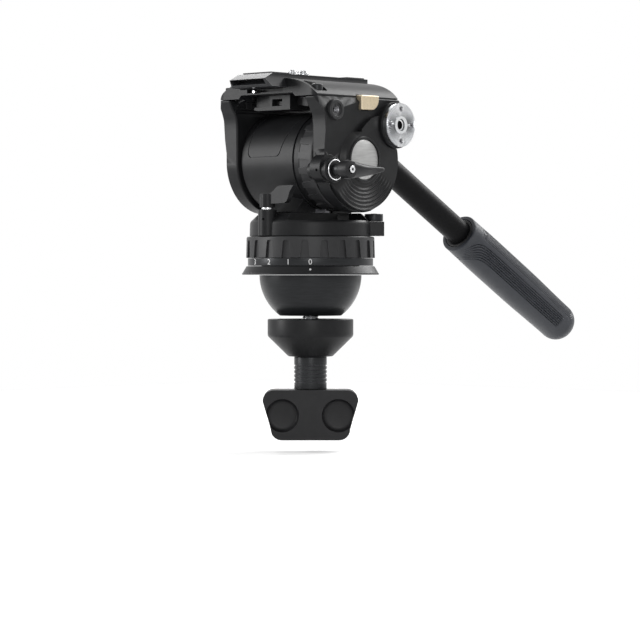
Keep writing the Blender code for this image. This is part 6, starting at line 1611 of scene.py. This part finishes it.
def grip_radius(along):
    """Radius of the smooth grip, millimetres from its mouth."""
    nose_start = (GRIP_LENGTH - GRIP_NOSE) * 1000
    if along > nose_start:
        share = min(1, (along - nose_start) / (GRIP_NOSE * 1000))
        return GRIP_END_RADIUS - GRIP_NOSE + GRIP_NOSE * math.sqrt(max(0, 1 - share * share))
    points = ((0, GRIP_NECK), (GRIP_LENGTH * 250, GRIP_RADIUS), (GRIP_LENGTH * 500, GRIP_RADIUS),
              (nose_start, GRIP_END_RADIUS))
    for (low, one), (high, two) in zip(points, points[1:]):
        if along <= high:
            share = (along - low) / (high - low)
            return one + (two - one) * share * share * (3 - 2 * share)
    return GRIP_END_RADIUS


def groove_depth(along, angle):
    """Depth of the pattern in metres, at a place given in millimetres and degrees."""
    side = math.degrees(math.asin(math.sin(math.radians(angle))))
    per_degree = grip_radius(along) * 1000 * math.pi / 180
    deepest = 0
    for groove in range(SWEEP_GROOVES):
        swing = SWEEP_REACH * math.exp(-(along - SWEEP_FROM - SWEEP_DELAY * groove) / SWEEP_DECAY)
        if swing > SWING_MOST:
            continue
        slant = swing / SWEEP_DECAY * per_degree
        away = abs(side - (SWEEP_TOP - SWEEP_PITCH * groove - swing)) * per_degree / math.hypot(1, slant)
        fade = min(1, max(0, (SWING_FADED - swing) / SWING_FADE))
        fade *= min(1, max(0, (SWEEP_END - along) / SWEEP_END_FADE))
        if away < SWEEP_HALF:
            depth = SWEEP_DEPTH * fade * math.cos(away / SWEEP_HALF * math.pi / 2) ** SWEEP_ROUNDNESS
            deepest = max(deepest, depth)
    beyond = max(0, LOOP_FROM - along, along - LOOP_TO)
    from_middle = math.hypot((side - LOOP_ANGLE) * per_degree, beyond)
    for loop in range(LOOPS):
        away = abs(from_middle - LOOP_PITCH * (loop + 0.5))
        if away < LOOP_HALF:
            deepest = max(deepest, LOOP_DEPTH * math.cos(away / LOOP_HALF * math.pi / 2))
    return deepest


# Rows and columns of the grip's mesh, close together where the pattern is
nose = (GRIP_LENGTH - GRIP_NOSE) * 1000
grip_rows = [0.4 * index for index in range(71)] + [34 + 6 * index for index in range(17)]
grip_rows += [136 + 0.4 * index for index in range(30)]
for index in range(NOSE_ROWS):
    grip_rows.append(nose + GRIP_NOSE * 1000 * math.sin(math.pi / 2 * index / NOSE_ROWS))
right_angles = [-80 + 0.8 * index for index in range(178)]
grip_angles = right_angles + [64 + 3 * index for index in range(18)]
grip_angles += [180 - angle for angle in reversed(right_angles)] + [263 + 3 * index for index in range(5)]


def grip_ring(build, radius, along):
    """Ring of the grip; with no fixed radius it follows the grooved surface."""
    ring = []
    mouth_round = MOUTH_ROUND * max(0, 1 - along / MOUTH_ROUND_LENGTH)
    for angle in grip_angles:
        reach = radius or grip_radius(along) - groove_depth(along, angle) - mouth_round
        turn = math.radians(angle)
        ring.append(build.verts.new((reach * math.cos(turn), reach * math.sin(turn), along / 1000)))
    return ring


build = bmesh.new()
bore = (TUBE_IN_GRIP + 0.0003) * 1000
rings = [grip_ring(build, radius, along) for radius, along in (
    (BAR_RADIUS + 0.0003, bore), (BAR_RADIUS + 0.0003, MOUTH_DEPTH * 1000),
    (GRIP_MOUTH, MOUTH_DEPTH * 1000),
    (GRIP_MOUTH, 0.3), (GRIP_MOUTH + 0.0003, 0))]
rings += [grip_ring(build, None, along) for along in grip_rows]
bridged(build, rings)
for ring, along in ((rings[0], bore), (rings[-1], GRIP_LENGTH * 1000)):
    middle = build.verts.new((0, 0, along / 1000))
    for column in range(len(ring)):
        build.faces.new((ring[column], ring[(column + 1) % len(ring)], middle))
at_grip = (Matrix.Translation(bend_point + GRIP_START * grip_along)
           @ Matrix(((1, 0, 0), (0, grip_up.y, grip_along.y), (0, grip_up.z, grip_along.z))).to_4x4())
fit(built("handle_grip_moulded", build, at_grip), grip_rubber, "handle", "handle_grip")
fit(turned("handle_collar_moulded", [
    (0.0105, 0.0002), (0.0112, 0.0000, 0.0003), (0.0124, 0.0000, 0.0003), (0.0128, 0.0004, 0.0002),
    (0.0128, 0.0027), (0.0105, 0.0027),
], steps=96, place=at_grip), moulded_black, "handle", "handle_collar")
